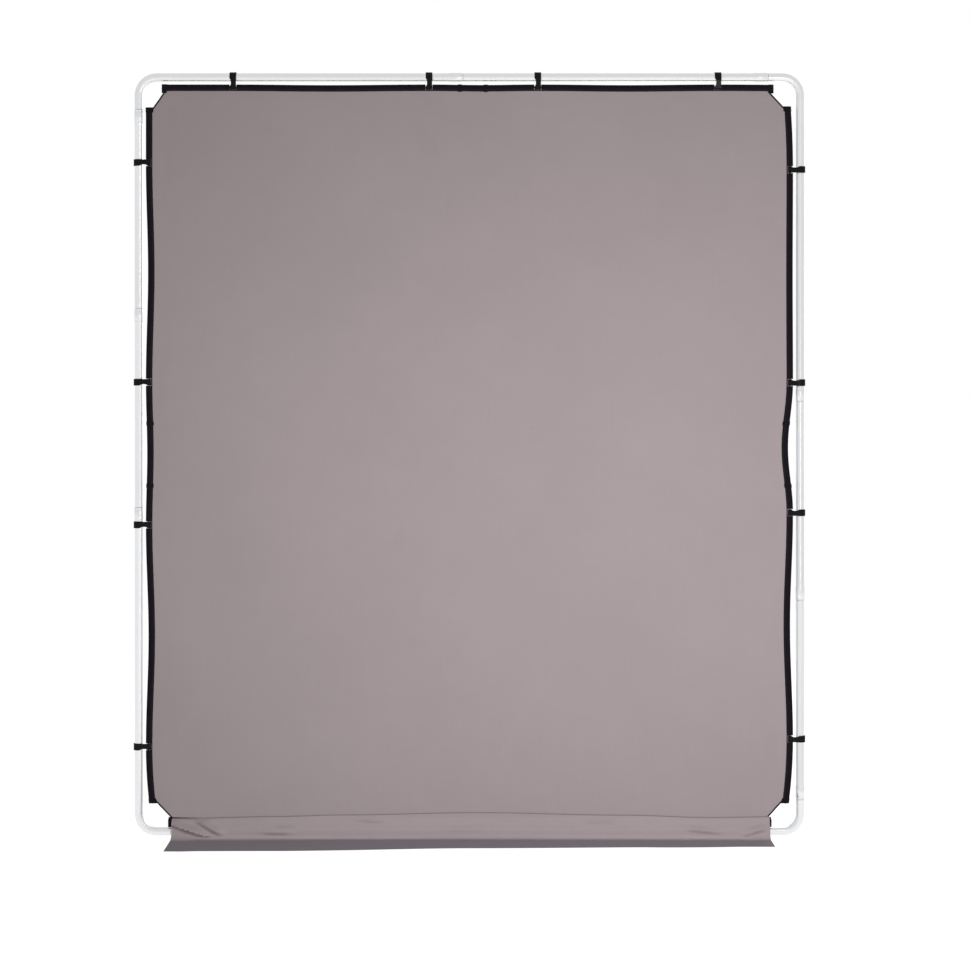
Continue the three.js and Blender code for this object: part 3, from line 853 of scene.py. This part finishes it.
class BACKGROUND_OT_battens(BuildStep, Operator):
    """Build the two halves of each batten and the bands that hold their joint"""

    bl_idname = "background.battens"
    bl_label = "Battens and bands"

    def execute(self, context):
        for side, edge in edges().items():
            low, high = local_box(f"batten_{side}_ferruled", edge.place)
            plain_low, plain_high = local_box(f"batten_{side}_plain", edge.place)
            joint = plain_low.x
            ferrule = high.x - joint
            self.half(f"batten_{side}_first", edge, self.ferruled(low.x, joint, ferrule),
                      f"batten_{side}_ferruled")
            self.half(f"batten_{side}_second", edge, self.plain(joint, plain_high.x),
                      f"batten_{side}_plain")
            for letter in "ab":
                node = f"batten_band_{side}_{letter}"
                if node in frame["nodes"]:
                    low, high = local_box(node, edge.place)
                    self.band(node, edge, low.x, high.x)
        return {"FINISHED"}

    def rod(self, start, end):
        """The rounded start of a rod, and stations along it as far as end."""
        return [(start, 0), (start, BATTEN_R * 0.8), (start + 0.5 * MM, BATTEN_R),
                *self.run(start + 20 * MM, end, BATTEN_R)]

    def run(self, start, end, r):
        return [(x, r) for x in spread(start, end, 25 * MM)]

    def plain(self, start, end):
        return [*self.rod(start, end - 20 * MM),
                (end - 0.5 * MM, BATTEN_R), (end, BATTEN_R * 0.8), (end, 0)]

    def ferruled(self, start, joint, ferrule):
        r, bore = 3.4 * MM, BATTEN_R + 0.4 * MM
        back, front = joint - ferrule, joint + ferrule
        return [*self.rod(start, back - 5 * MM), (back, BATTEN_R), (back, r),
                *self.run(back + 5 * MM, front - 5 * MM, r),
                (front - 0.4 * MM, r), (front - 0.4 * MM, bore),
                (joint - 0.5 * MM, bore), (joint - 0.5 * MM, 0)]

    def half(self, name, edge, profile, node):
        bm = spun(profile, closed=False, sides=16)
        for vert in bm.verts:
            vert.co = edge.at(*vert.co)
        add_piece(name, bm, "fibreglass", [node])

    def band(self, node, edge, start, end):
        us, vs = spread(start, end, 2 * MM), [i / 36 for i in range(37)]

        def shape(u, v):
            y, z = sleeve_section(v, grow=1.2 * MM, reach=1.8 * MM)
            return edge.at(u, y, z)

        bm = mapped_grid(us, vs, shape, lambda u, v: (v * 50 * MM, u, 0))
        thicken(bm, 1.2 * MM)
        soften(bm, 0.25 * MM, 1, 60)
        add_piece(f"{node}_woven", bm, "black_webbing", [node])


class BACKGROUND_OT_cloth(BuildStep, Operator):
    """Stretch the background cloth between the sleeves, and bind its cut corners"""

    bl_idname = "background.cloth"
    bl_label = "Cloth panel"
    hidden = 4 * MM  # cloth sewn in between the layers of a sleeve
    low = {"top": 0, "bottom": 3.5 * MM, "left": 0, "right": 0}
    tuck = {"top": 9 * MM, "bottom": 4 * MM, "left": 4 * MM, "right": 4 * MM}

    def execute(self, context):
        cover = setting("bg_cover")
        sides = edges()
        low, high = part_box("cloth_panel")
        self.depth = (low.y + high.y) / 2
        west, east = low.x - self.hidden, high.x + self.hidden
        floor, top = low.z - self.hidden, high.z + self.hidden
        bm = mapped_grid(
            spread(west, east, cover.cell), spread(floor, top, cover.cell),
            lambda x, z: Vector((x, self.depth, z)),
        )
        cuts = self.corner_cuts(sides)
        for start, end in cuts:
            self.cut(bm, start, end)
        box = (west, east, floor, top)
        for vert in bm.verts:
            vert.co = self.stretched(vert.co, sides, box)
        thicken(bm, CLOTH)
        panel = add_piece("background_cloth", bm, "backdrop_cloth", ["cloth_panel"])
        bindings = [self.binding(index, start, end, sides, box)
                    for index, (start, end) in enumerate(cuts)]
        return {"FINISHED"}

    def corner_cuts(self, sides):
        """The two ends of each cut corner, going round clockwise, so the cloth is on the right."""
        order = ["left", "top", "right", "bottom"]
        found = []
        for a, b in zip(order, order[1:] + order[:1]):
            ends = (
                (sides[a], sides[a].end - self.tuck[a]), (sides[b], sides[b].start + self.tuck[b])
            )
            found.append([
                edge.place @ Vector((x, COVER_Y, edge.middle - SLEEVE_HALF + self.low[edge.side]))
                for edge, x in ends
            ])
        return found

    def cut(self, bm, start, end):
        line = end - start
        outward = Vector((-line.z, 0, line.x)).normalized()
        bmesh.ops.bisect_plane(
            bm, geom=bm.verts[:] + bm.edges[:] + bm.faces[:], dist=1e-5,
            plane_co=start, plane_no=outward, clear_outer=True,
        )

    def stretched(self, point, sides, box):
        """Pulls the edges in where the sleeves bow, and waves the cloth a little out of flat."""
        west, east, floor, top = box
        x, z = point.x, point.z
        reach = 0.16
        near = {"left": x - west, "right": east - x, "bottom": z - floor, "top": top - z}
        shift = Vector((0, 0, 0))
        wave = 0.0
        for side, distance in near.items():
            edge = sides[side]
            along = (edge.place.inverted() @ Vector((x, self.depth, z))).x
            fade = math.exp(-max(distance, 0) / reach)
            inward = edge.place.to_3x3() @ Vector((0, 0, -edge.sag(along)))
            shift += inward * fade
            wave += self.edge_wave(edge, along, distance)
        calm = min(1.0, min(near.values()) / 0.05)
        drift = noise.noise(Vector((x * 1.3, z * 1.1, 3.7))) * 2.2
        wave += calm * (drift + 0.5 * noise.noise(Vector((x * 4.1, z * 3.3, 9.1))))
        return point + shift + Vector((0, wave * setting("bg_cover").ripple, 0))

    def edge_wave(self, edge, along, distance):
        """Small puckers that start at the sleeve and die out, stronger beside each clip."""
        calm = min(1.0, distance / 0.012)
        fade = calm * math.exp(-distance / 0.055)
        clip = max((math.exp(-((along - x) / 0.10) ** 2) for _, x in edge.clips), default=0)
        corner = math.exp(-min(along - edge.start, edge.end - along) / 0.18)
        pucker = math.sin(along * 95 + 2.2 * math.sin(along * 7.3)) * (0.25 + 0.75 * clip)
        drift = noise.noise(Vector((along * 5, distance * 9, 1.7)))
        streak = math.sin(distance * 260 + along * 14 + 4 * drift)
        streaks = streak * calm * math.exp(-distance / 0.07) * max(clip, corner) * (0.6 + drift)
        return fade * pucker * 0.3 + streaks * 0.75

    def binding(self, index, start, end, sides, box):
        """Black tape folded over a cut corner."""
        line = end - start
        outward = Vector((-line.z, 0, line.x)).normalized()
        width, half = 3.0 * MM, 1.3 * MM
        us, vs = spread(0, 1, 0.05), spread(0, 1, 1 / 14)

        def shape(u, v):
            at = self.stretched(start.lerp(end, u), sides, box)
            turn = (v - 0.5) * 2
            if abs(turn) < 0.3:
                angle = turn / 0.3 * QUARTER
                return at + half * (outward * math.cos(angle) + Vector((0, math.sin(angle), 0)))
            inset = (abs(turn) - 0.3) / 0.7 * width
            return at - outward * inset + Vector((0, math.copysign(half, turn), 0))

        bm = mapped_grid(us, vs, shape, lambda u, v: (u * line.length, v * 14 * MM, 0))
        thicken(bm, TAPE)
        return add_piece(f"corner_binding_{index + 1}", bm, "black_webbing")


def between(knots, x):
    """The value at x on a line through (x, value) knots, held level beyond its ends."""
    if x <= knots[0][0]:
        return knots[0][1]
    for (x0, a), (x1, b) in zip(knots, knots[1:]):
        if x <= x1:
            part = (x - x0) / (x1 - x0)
            part = part * part * (3 - 2 * part)
            return a + (b - a) * part
    return knots[-1][1]


# Along the skirt from left to right: height of its seam, length of cloth below the seam, and
# radius of the turn onto the floor.
SEAM_HEIGHT = [(-0.90, 0.0575), (-0.57, 0.0645), (-0.39, 0.069), (0.03, 0.076), (0.46, 0.0685),
               (0.73, 0.061), (0.90, 0.0635)]
CUT_LENGTH = [(-0.90, 0.227), (-0.51, 0.233), (0.0, 0.205), (0.54, 0.183), (0.90, 0.167)]
TURN_RADIUS = [(-0.90, 0.036), (-0.78, 0.015), (-0.40, 0.010), (0.40, 0.014), (0.78, 0.012),
               (0.90, 0.024)]
# Folds across the hanging part: both ends as (x, z), height forwards, half width.
FOLDS = [
    ((-0.836, 0.066), (-0.735, 0.012), 17 * MM, 9 * MM),
    ((-0.930, 0.058), (-0.760, 0.002), 19 * MM, 9 * MM),
    ((-0.640, 0.022), (-0.520, 0.019), 7 * MM, 6 * MM),
    ((-0.600, 0.036), (-0.500, 0.035), 5 * MM, 4.5 * MM),
    ((-0.370, 0.062), (-0.250, 0.052), 6 * MM, 7 * MM),
    ((-0.100, 0.030), (0.060, 0.034), 4 * MM, 7 * MM),
    ((0.330, 0.050), (0.470, 0.047), 5 * MM, 6 * MM),
    ((0.640, 0.034), (0.760, 0.020), 7 * MM, 7 * MM),
    ((0.900, 0.042), (0.810, 0.008), 10 * MM, 9 * MM),
]


class BACKGROUND_OT_skirt(BuildStep, Operator):
    """Hang the skirt from its seam and let it fall onto the floor"""

    bl_idname = "background.skirt"
    bl_label = "Floor skirt"

    def execute(self, context):
        low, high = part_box("floor_skirt")
        self.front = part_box("cloth_panel")[0].y - 1.2 * MM
        self.plane = side_frames()["bottom"].translation.y
        aside = 4 * MM
        us, vs = spread(low.x + aside, high.x + aside, 8 * MM), spread(0, 1, 1 / 48)
        bm = mapped_grid(
            us, vs, self.hanging,
            lambda x, v: (x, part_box("cloth_panel")[0].z - v * between(CUT_LENGTH, x), 0),
        )
        for vert in bm.verts:
            vert.co = self.folded(vert.co)
        thicken(bm, CLOTH)
        skirt = add_piece("skirt", bm, "backdrop_cloth", ["floor_skirt"])
        seam = self.seam(us)
        mean = sum(between(CUT_LENGTH, x) for x in us) / len(us)
        (high.x - low.x) * mean
        return {"FINISHED"}

    def seam(self, us):
        """The corded seam that joins the skirt to the panel."""
        r, ring = 1.3 * MM, spread(0, math.tau, math.tau / 10)
        middle = self.front - 1.2 * MM
        bm = mapped_grid(us, ring, lambda x, a: Vector((
            x, middle + r * math.cos(a), between(SEAM_HEIGHT, x) + r * math.sin(a))))
        return add_piece("skirt_seam", closed_up(bm), "backdrop_cloth", look="seam_thread")

    def hanging(self, x, v):
        """Down from the seam in front of the clips, a round turn, then out along the floor."""
        top, far = between(SEAM_HEIGHT, x), v * between(CUT_LENGTH, x)
        step, turn = 3 * MM, between(TURN_RADIUS, x)
        if far < step:
            return Vector((x, self.front - far, top))
        fall, down = top - turn, top - far
        if far < fall:
            return Vector((x, min(self.front - step, self.guard_y(down)), down))
        base = min(self.front - step, self.guard_y(turn))
        angle = min((far - fall) / turn, QUARTER)
        out = max(0, far - fall - turn * QUARTER)
        return Vector((x, base - turn * (1 - math.cos(angle)) - out, turn * (1 - math.sin(angle))))

    def guard_y(self, z):
        """The skirt hangs in front of the bottom clips, with room for them to open."""
        room = [(0, 29 * MM), (0.024, 29.3 * MM), (0.0494, 17 * MM), (0.062, 11.5 * MM)]
        return self.plane - between(room, z)

    def folded(self, point):
        """Adds the folds, and keeps the cloth off the floor and in front of the clips."""
        x, z = point.x, point.z
        forward = 0.0
        for (x0, z0), (x1, z1), height, half in FOLDS:
            line, here = Vector((x1 - x0, z1 - z0)), Vector((x - x0, z - z0))
            part = here.dot(line) / line.length_squared
            away = abs(line.x * here.y - line.y * here.x) / line.length
            ends = min(1.0, max(0.0, 1.25 - abs(part - 0.5) * 1.9))
            forward += height * math.exp(-((away / half) ** 2)) * ends * ends * (3 - 2 * ends)
        room = min(1.0, max(0.0, (between(SEAM_HEIGHT, x) - z) / (12 * MM)))
        forward += 1.3 * MM * noise.noise(Vector((x * 7, z * 26, 2.9))) * room
        free = min(1.0, max(0.0, (z - 2 * MM) / (10 * MM)))
        y = point.y - forward * room * free
        seam = between(SEAM_HEIGHT, x) - 3 * MM
        if z < seam:
            y = min(y, self.guard_y(z) - 0.6 * MM)
        return Vector((x, y, max(z, CLOTH / 2 + 0.1 * MM)))


class BACKGROUND_OT_clips(BuildStep, Operator):
    """Mould the hook clips that pull the cloth out to the tubes"""

    bl_idname = "background.clips"
    bl_label = "Hook clips"

    def execute(self, context):
        for side, edge in edges().items():
            for name, x in edge.clips:
                bm = self.hook(edge.middle)
                place_by(bm, edge.place @ Matrix.Translation((x, 0, 0)))
                add_piece(f"{name}_moulded", bm, "gloss_black_plastic", [name], name)
        return {"FINISHED"}

    def path(self, eye_z):
        """(y, z) along the middle of the strap: tail, hook over the tube, neck, curled eye."""
        clip = setting("bg_clips")
        r = setting("bg_tubes").diameter / 2 + EYE_PLAY + clip.wall / 2
        curl = BATTEN_R + EYE_PLAY + EYE_WALL / 2
        points = [(y, r) for y in spread(clip.tail, 1 * MM, 1 * MM)]
        for step in range(31):
            angle = QUARTER * step / 30
            points.append((-r * math.sin(angle), r * math.cos(angle)))
        points += [(-r, -z * MM) for z in (1, 2, 3)]
        foot = -4 * MM
        for part in spread(0, 1, 1 / 16)[:-1]:
            points.append((-r + (COVER_Y - curl + r) * part, foot + (eye_z - foot) * part))
        for step in range(27):
            angle = math.radians(290) * step / 26
            points.append((COVER_Y - curl * math.cos(angle), eye_z - curl * math.sin(angle)))
        return points

    def hook(self, eye_z):
        clip = setting("bg_clips")
        path = [Vector(point) for point in self.path(eye_z)]
        rings = []
        for i, here in enumerate(path):
            along = (path[min(i + 1, len(path) - 1)] - path[max(i - 1, 0)]).normalized()
            out = Vector((along.y, -along.x))
            waist = min(max((-here.y - 3 * MM) / (8 * MM), 0), 1)
            waist = min(waist, min(max((here.y - eye_z - 4 * MM) / (6 * MM), 0), 1))
            thin = min(max((-here.y - 6 * MM) / (12 * MM), 0), 1)
            wall = clip.wall + (EYE_WALL - clip.wall) * thin
            near_end = min(i, len(path) - 1 - i)
            round_off = (0.62, 0.9, 1.0)[min(near_end, 2)]
            left = -clip.width / 2 + (clip.width - clip.neck) * 0.9 * waist
            right = clip.width / 2 - (clip.width - clip.neck) * 0.1 * waist
            recess = self.recess(i, here) * (1 - thin) * (near_end > 2)
            ring = []
            for x, n in self.section(left, right, wall / 2 * round_off, recess):
                ring.append(Vector((x, here.x + out.x * n, here.y + out.y * n)))
            rings.append(ring + ring[:1])
        bm = mapped_grid(
            list(range(len(rings))), list(range(len(rings[0]))), lambda u, v: rings[u][v]
        )
        keep_lie(bm)
        return closed_up(bm)

    def recess(self, index, here):
        """The outer face is hollowed between its rims, apart from the grip ribs across it."""
        ribs = setting("bg_clips").ribs
        rib_at = {8 + round(28 * (rib + 1) / (ribs + 1)) for rib in range(ribs)}
        raised = any(abs(index - at) <= 1 for at in rib_at)
        hooked = here.x < 3 * MM and here.y > -6 * MM
        return 0.9 * MM if hooked and not raised else 0.0

    def section(self, left, right, half, recess):
        """(x, n) round the strap: outer face with a rim along each edge, then the inner face."""
        lip, rim = 0.5 * MM, 1.9 * MM
        outer = [
            (left, half - lip), (left + lip, half), (left + rim, half),
            (left + rim + 0.4 * MM, half - recess), ((left + right) / 2, half - recess),
            (right - rim - 0.4 * MM, half - recess),
            (right - rim, half), (right - lip, half), (right, half - lip),
        ]
        inner = [
            (right, lip - half), (right - lip, -half), ((left + right) / 2, -half),
            (left + lip, -half), (left, lip - half),
        ]
        return outer + inner


def superellipse(a, b, power, steps):
    """(x, z) round a shape that goes from an ellipse, power 2, to a rounded box."""
    points = []
    for step in range(steps + 1):
        angle = math.tau * step / steps
        c, s = math.cos(angle), math.sin(angle)
        x = a * math.copysign(abs(c) ** (2 / power), c)
        points.append((x, b * math.copysign(abs(s) ** (2 / power), s)))
    return points


class BACKGROUND_OT_feet(BuildStep, Operator):
    """Build the swing-out feet: clamps, bars, rubber pads and knobs"""

    bl_idname = "background.feet"
    bl_label = "Feet"

    def execute(self, context):
        for side in ("left", "right"):
            low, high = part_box(f"foot_knob_{side}")
            bolt = Vector(((low.x + high.x) / 2, (low.y + high.y) / 2, 0))
            self.clamp(side, bolt)
            self.bar(side, bolt)
            self.pad(side)
            self.knob(side, bolt, high.z)
        return {"FINISHED"}

    def clamp(self, side, bolt):
        """Two cast jaws round the tube, and the fork that the bar swings in."""
        node = f"foot_clamp_{side}"
        low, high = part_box(node)
        tube = side_frames()["bottom"].translation
        half = (high.x - low.x) / 2
        fork_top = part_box(f"foot_knob_{side}")[1].z - 15.4 * MM
        r = high.z - tube.z
        bore = setting("bg_tubes").diameter / 2 + EYE_PLAY
        web = tube.y + r + 8 * MM
        rings = []
        for step in range(49):
            angle = math.tau * step / 48
            y, z = math.sin(angle), math.cos(angle)
            outer = Vector((bolt.x, tube.y + r * y, max(tube.z + r * z, 0)))
            if y > 0 and tube.z + r * z < fork_top:
                outer.y = min(web, tube.y + r * y + (web - tube.y - r) * min(1, 3 * y))
            rings.append((outer, Vector((bolt.x, tube.y + bore * y, tube.z + bore * z))))
        bm = mapped_grid(
            list(range(49)), list(range(9)),
            lambda u, v: self.jaw_point(rings[u], v, half),
        )
        closed_up(bm)
        plate = 6 * MM
        for base in (low.z, fork_top - plate):
            absorb(bm, self.fork_plate(bolt, half, web - 2 * MM, base, plate))
        for x in (-14 * MM, 14 * MM):
            absorb(bm, self.cap_screw(Vector((bolt.x + x, web - 7 * MM, fork_top))))
        keep_lie(bm)
        add_piece(f"{node}_cast", bm, "black_steel", [node])

    def jaw_point(self, ring, v, half, chamfer=0.9 * MM):
        """Eight edges of a chamfered section between an outer and an inner line."""
        outer, inner = ring
        deep = chamfer / max((inner - outer).length, 2 * chamfer)
        side, depth = (
            (chamfer - half, 0), (half - chamfer, 0), (half, deep), (half, 1 - deep),
            (half - chamfer, 1), (chamfer - half, 1), (-half, 1 - deep), (-half, deep),
        )[v % 8]
        return outer.lerp(inner, depth) + Vector((side, 0, 0))

    def fork_plate(self, bolt, half, back, base, thickness, chamfer=0.8 * MM):
        """A flat plate with a round end and a bolt hole."""
        hole, middle, thick = 4.4 * MM, base + thickness / 2, thickness / 2

        def corner(angle, v):
            c, s = math.cos(angle), math.sin(angle)
            reach = half
            if s < 0:
                reach = min(half / max(abs(c), 1e-6), (bolt.y - back) / abs(s))
            r, z = (
                (reach, chamfer - thick), (reach, thick - chamfer), (reach - chamfer, thick),
                (hole + chamfer, thick), (hole, thick - chamfer), (hole, chamfer - thick),
                (hole + chamfer, -thick), (reach - chamfer, -thick),
            )[v % 8]
            return bolt + Vector((r * c, r * s, middle + z))

        return closed_up(mapped_grid(spread(0, math.tau, math.tau / 64), list(range(9)), corner))

    def cap_screw(self, at):
        """A socket cap screw standing on the clamp."""
        top, r = 3.2 * MM, 3.4 * MM
        screw = spun([(-0.5 * MM, 0), (-0.5 * MM, r), (top - 0.5 * MM, r), (top, r - 0.5 * MM),
                      (top, 1.8 * MM), (top - 1.6 * MM, 1.8 * MM), (top - 1.6 * MM, 0)],
                     closed=False, sides=18)
        place_by(screw, Matrix.Translation(at) @ Matrix.Rotation(-QUARTER, 4, "Y"))
        return screw

    def bar(self, side, bolt):
        """A round bar with its end pressed flat round the bolt."""
        node = f"foot_bar_{side}"
        low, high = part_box(node)
        middle = (low.z + high.z) / 2
        r, eye, tongue = setting("bg_feet").bar / 2, bolt.y - low.y, 5.5 * MM
        stations = [-eye * math.cos(angle) for angle in spread(0.12, QUARTER, 0.12)]
        stations += [2 * MM, 9 * MM, 14 * MM, 18 * MM, 22 * MM, 26 * MM, 30 * MM, 34 * MM, 40 * MM]
        stations += spread(60 * MM, high.y - bolt.y - 1 * MM, 30 * MM) + [high.y - bolt.y]
        rings = []
        for y in stations:
            wide = eye if y > 0 else math.sqrt(max(eye * eye - y * y, 1e-9))
            part = min(max((y - 8 * MM) / (30 * MM), 0), 1)
            part = part * part * (3 - 2 * part)
            last = 0.9 if y == stations[-1] else 1.0
            a = (wide + (r - wide) * part) * last
            b = (tongue + (r - tongue) * part) * last
            if y < 0:
                b *= min(1.0, 0.8 + 0.4 * wide / eye)
            points = superellipse(a, b, 2 + 5 * (1 - part), 40)
            rings.append([Vector((bolt.x + x, bolt.y + y, middle + z)) for x, z in points])
        bm = mapped_grid(list(range(len(rings))), list(range(41)), lambda u, v: rings[u][v])
        closed_up(bm)
        keep_lie(bm)
        add_piece(f"{node}_pressed", bm, "black_steel", [node], f"foot_{side}")

    def pad(self, side):
        """A ribbed rubber boot with a flat sole."""
        node = f"foot_pad_{side}"
        low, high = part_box(node)
        r = high.z / 2
        bore, length, wall = setting("bg_feet").bar / 2 + EYE_PLAY, high.y - low.y, 2 * MM
        profile = [(0.8 * MM, bore), (0, bore + 0.5 * MM), (0, r - 0.9 * MM),
                   (0.7 * MM, r - 0.2 * MM)]
        for x in spread(4 * MM, length - 9 * MM, 4.5 * MM):
            profile += [(x - 1.2 * MM, r), (x - 0.6 * MM, r - 0.8 * MM),
                        (x + 0.6 * MM, r - 0.8 * MM), (x + 1.2 * MM, r)]
        profile += [(length - 3 * MM, r), (length - 0.9 * MM, r - 0.9 * MM), (length, r - 3 * MM),
                    (length, 0), (length - wall, 0), (length - wall, bore)]
        bm = spun(profile[3:] + profile[:3], closed=True, sides=40)
        for vert in bm.verts:
            if vert.co.z < -0.72 * r and vert.co.yz.length > bore + 0.5 * MM:
                vert.co.z = -r
        middle = (low + high) / 2
        place_by(bm, Matrix.Translation((middle.x, low.y, r)) @ Matrix.Rotation(QUARTER, 4, "Z"))
        add_piece(f"{node}_ribbed", bm, "foot_rubber", [node], f"foot_{side}")

    def knob(self, side, bolt, top):
        """A lobed hand knob on its bolt."""
        node, lobes = f"foot_knob_{side}", setting("bg_feet").lobes
        base, r = top - 15 * MM, 17 * MM
        neck = 11 * MM
        profile = [
            (1 * MM, 0), (1 * MM, 3.6 * MM), (1.6 * MM, 4 * MM), (base, 4 * MM), (base, neck),
            (base + 2 * MM, neck), (base + 2.4 * MM, r - 2 * MM), (base + 3.2 * MM, r - 0.6 * MM),
            (base + 5 * MM, r), (top - 3.5 * MM, r), (top - 1.6 * MM, r - 0.8 * MM),
            (top - 0.4 * MM, r - 2.8 * MM), (top, r - 5 * MM), (top, 6 * MM),
            (top - 0.8 * MM, 5 * MM), (top - 0.8 * MM, 0),
        ]
        bm = spun(profile, closed=False, sides=96)
        for vert in bm.verts:
            reach = min(max((vert.co.yz.length - neck) / (r - neck), 0), 1)
            angle = math.atan2(vert.co.z, vert.co.y)
            dip = 3 * MM * reach * ((1 - math.cos(lobes * angle)) / 2) ** 1.5
            vert.co.yz -= vert.co.yz.normalized() * dip
        place_by(bm, Matrix.Translation(bolt) @ Matrix.Rotation(-QUARTER, 4, "Y"))
        keep_lie(bm)
        add_piece(f"{node}_lobed", bm, "knob_plastic", [node], node)


class BACKGROUND_OT_cords(BuildStep, Operator):
    """Give the elastic cords inside the side tubes their braided cover"""

    bl_idname = "background.cords"
    bl_label = "Elastic cords"

    def execute(self, context):
        for name, node in frame["nodes"].items():
            if name.startswith("shock_cord"):
                for slot in node.material_slots:
                    slot.material = finish("shock_cord")
        return {"FINISHED"}


class BACKGROUND_PT_steps(Panel):
    bl_idname = "BACKGROUND_PT_steps"
    bl_label = "Cloth Background"
    bl_space_type = "VIEW_3D"
    bl_region_type = "UI"
    bl_category = "Background"

    def draw(self, context):
        for operator in OPERATORS:
            self.layout.operator(operator.bl_idname)
        for group in SETTINGS:
            column = self.layout.column()
            for name in getattr(context.scene, group).bl_rna.properties.keys():
                if name not in ("rna_type", "name"):
                    column.prop(getattr(context.scene, group), name)


OPERATORS = [
    BACKGROUND_OT_stage,
    BACKGROUND_OT_tubes,
    BACKGROUND_OT_sleeves,
    BACKGROUND_OT_battens,
    BACKGROUND_OT_cloth,
    BACKGROUND_OT_skirt,
    BACKGROUND_OT_clips,
    BACKGROUND_OT_feet,
    BACKGROUND_OT_cords,
]


def register():
    for group in SETTINGS.values():
        bpy.utils.register_class(group)
    for name, group in SETTINGS.items():
        setattr(bpy.types.Scene, name, PointerProperty(type=group))
    for operator in OPERATORS:
        bpy.utils.register_class(operator)
    bpy.utils.register_class(BACKGROUND_PT_steps)


def unregister():
    bpy.utils.unregister_class(BACKGROUND_PT_steps)
    for operator in reversed(OPERATORS):
        bpy.utils.unregister_class(operator)
    for name in SETTINGS:
        delattr(bpy.types.Scene, name)
    for group in SETTINGS.values():
        bpy.utils.unregister_class(group)


def main():
    register()
    bpy.ops.background.stage()
    bpy.ops.background.tubes()
    bpy.ops.background.sleeves()
    bpy.ops.background.battens()
    bpy.ops.background.cloth()
    bpy.ops.background.skirt()
    bpy.ops.background.clips()
    bpy.ops.background.feet()
    bpy.ops.background.cords()


if __name__ == "__main__":
    main()
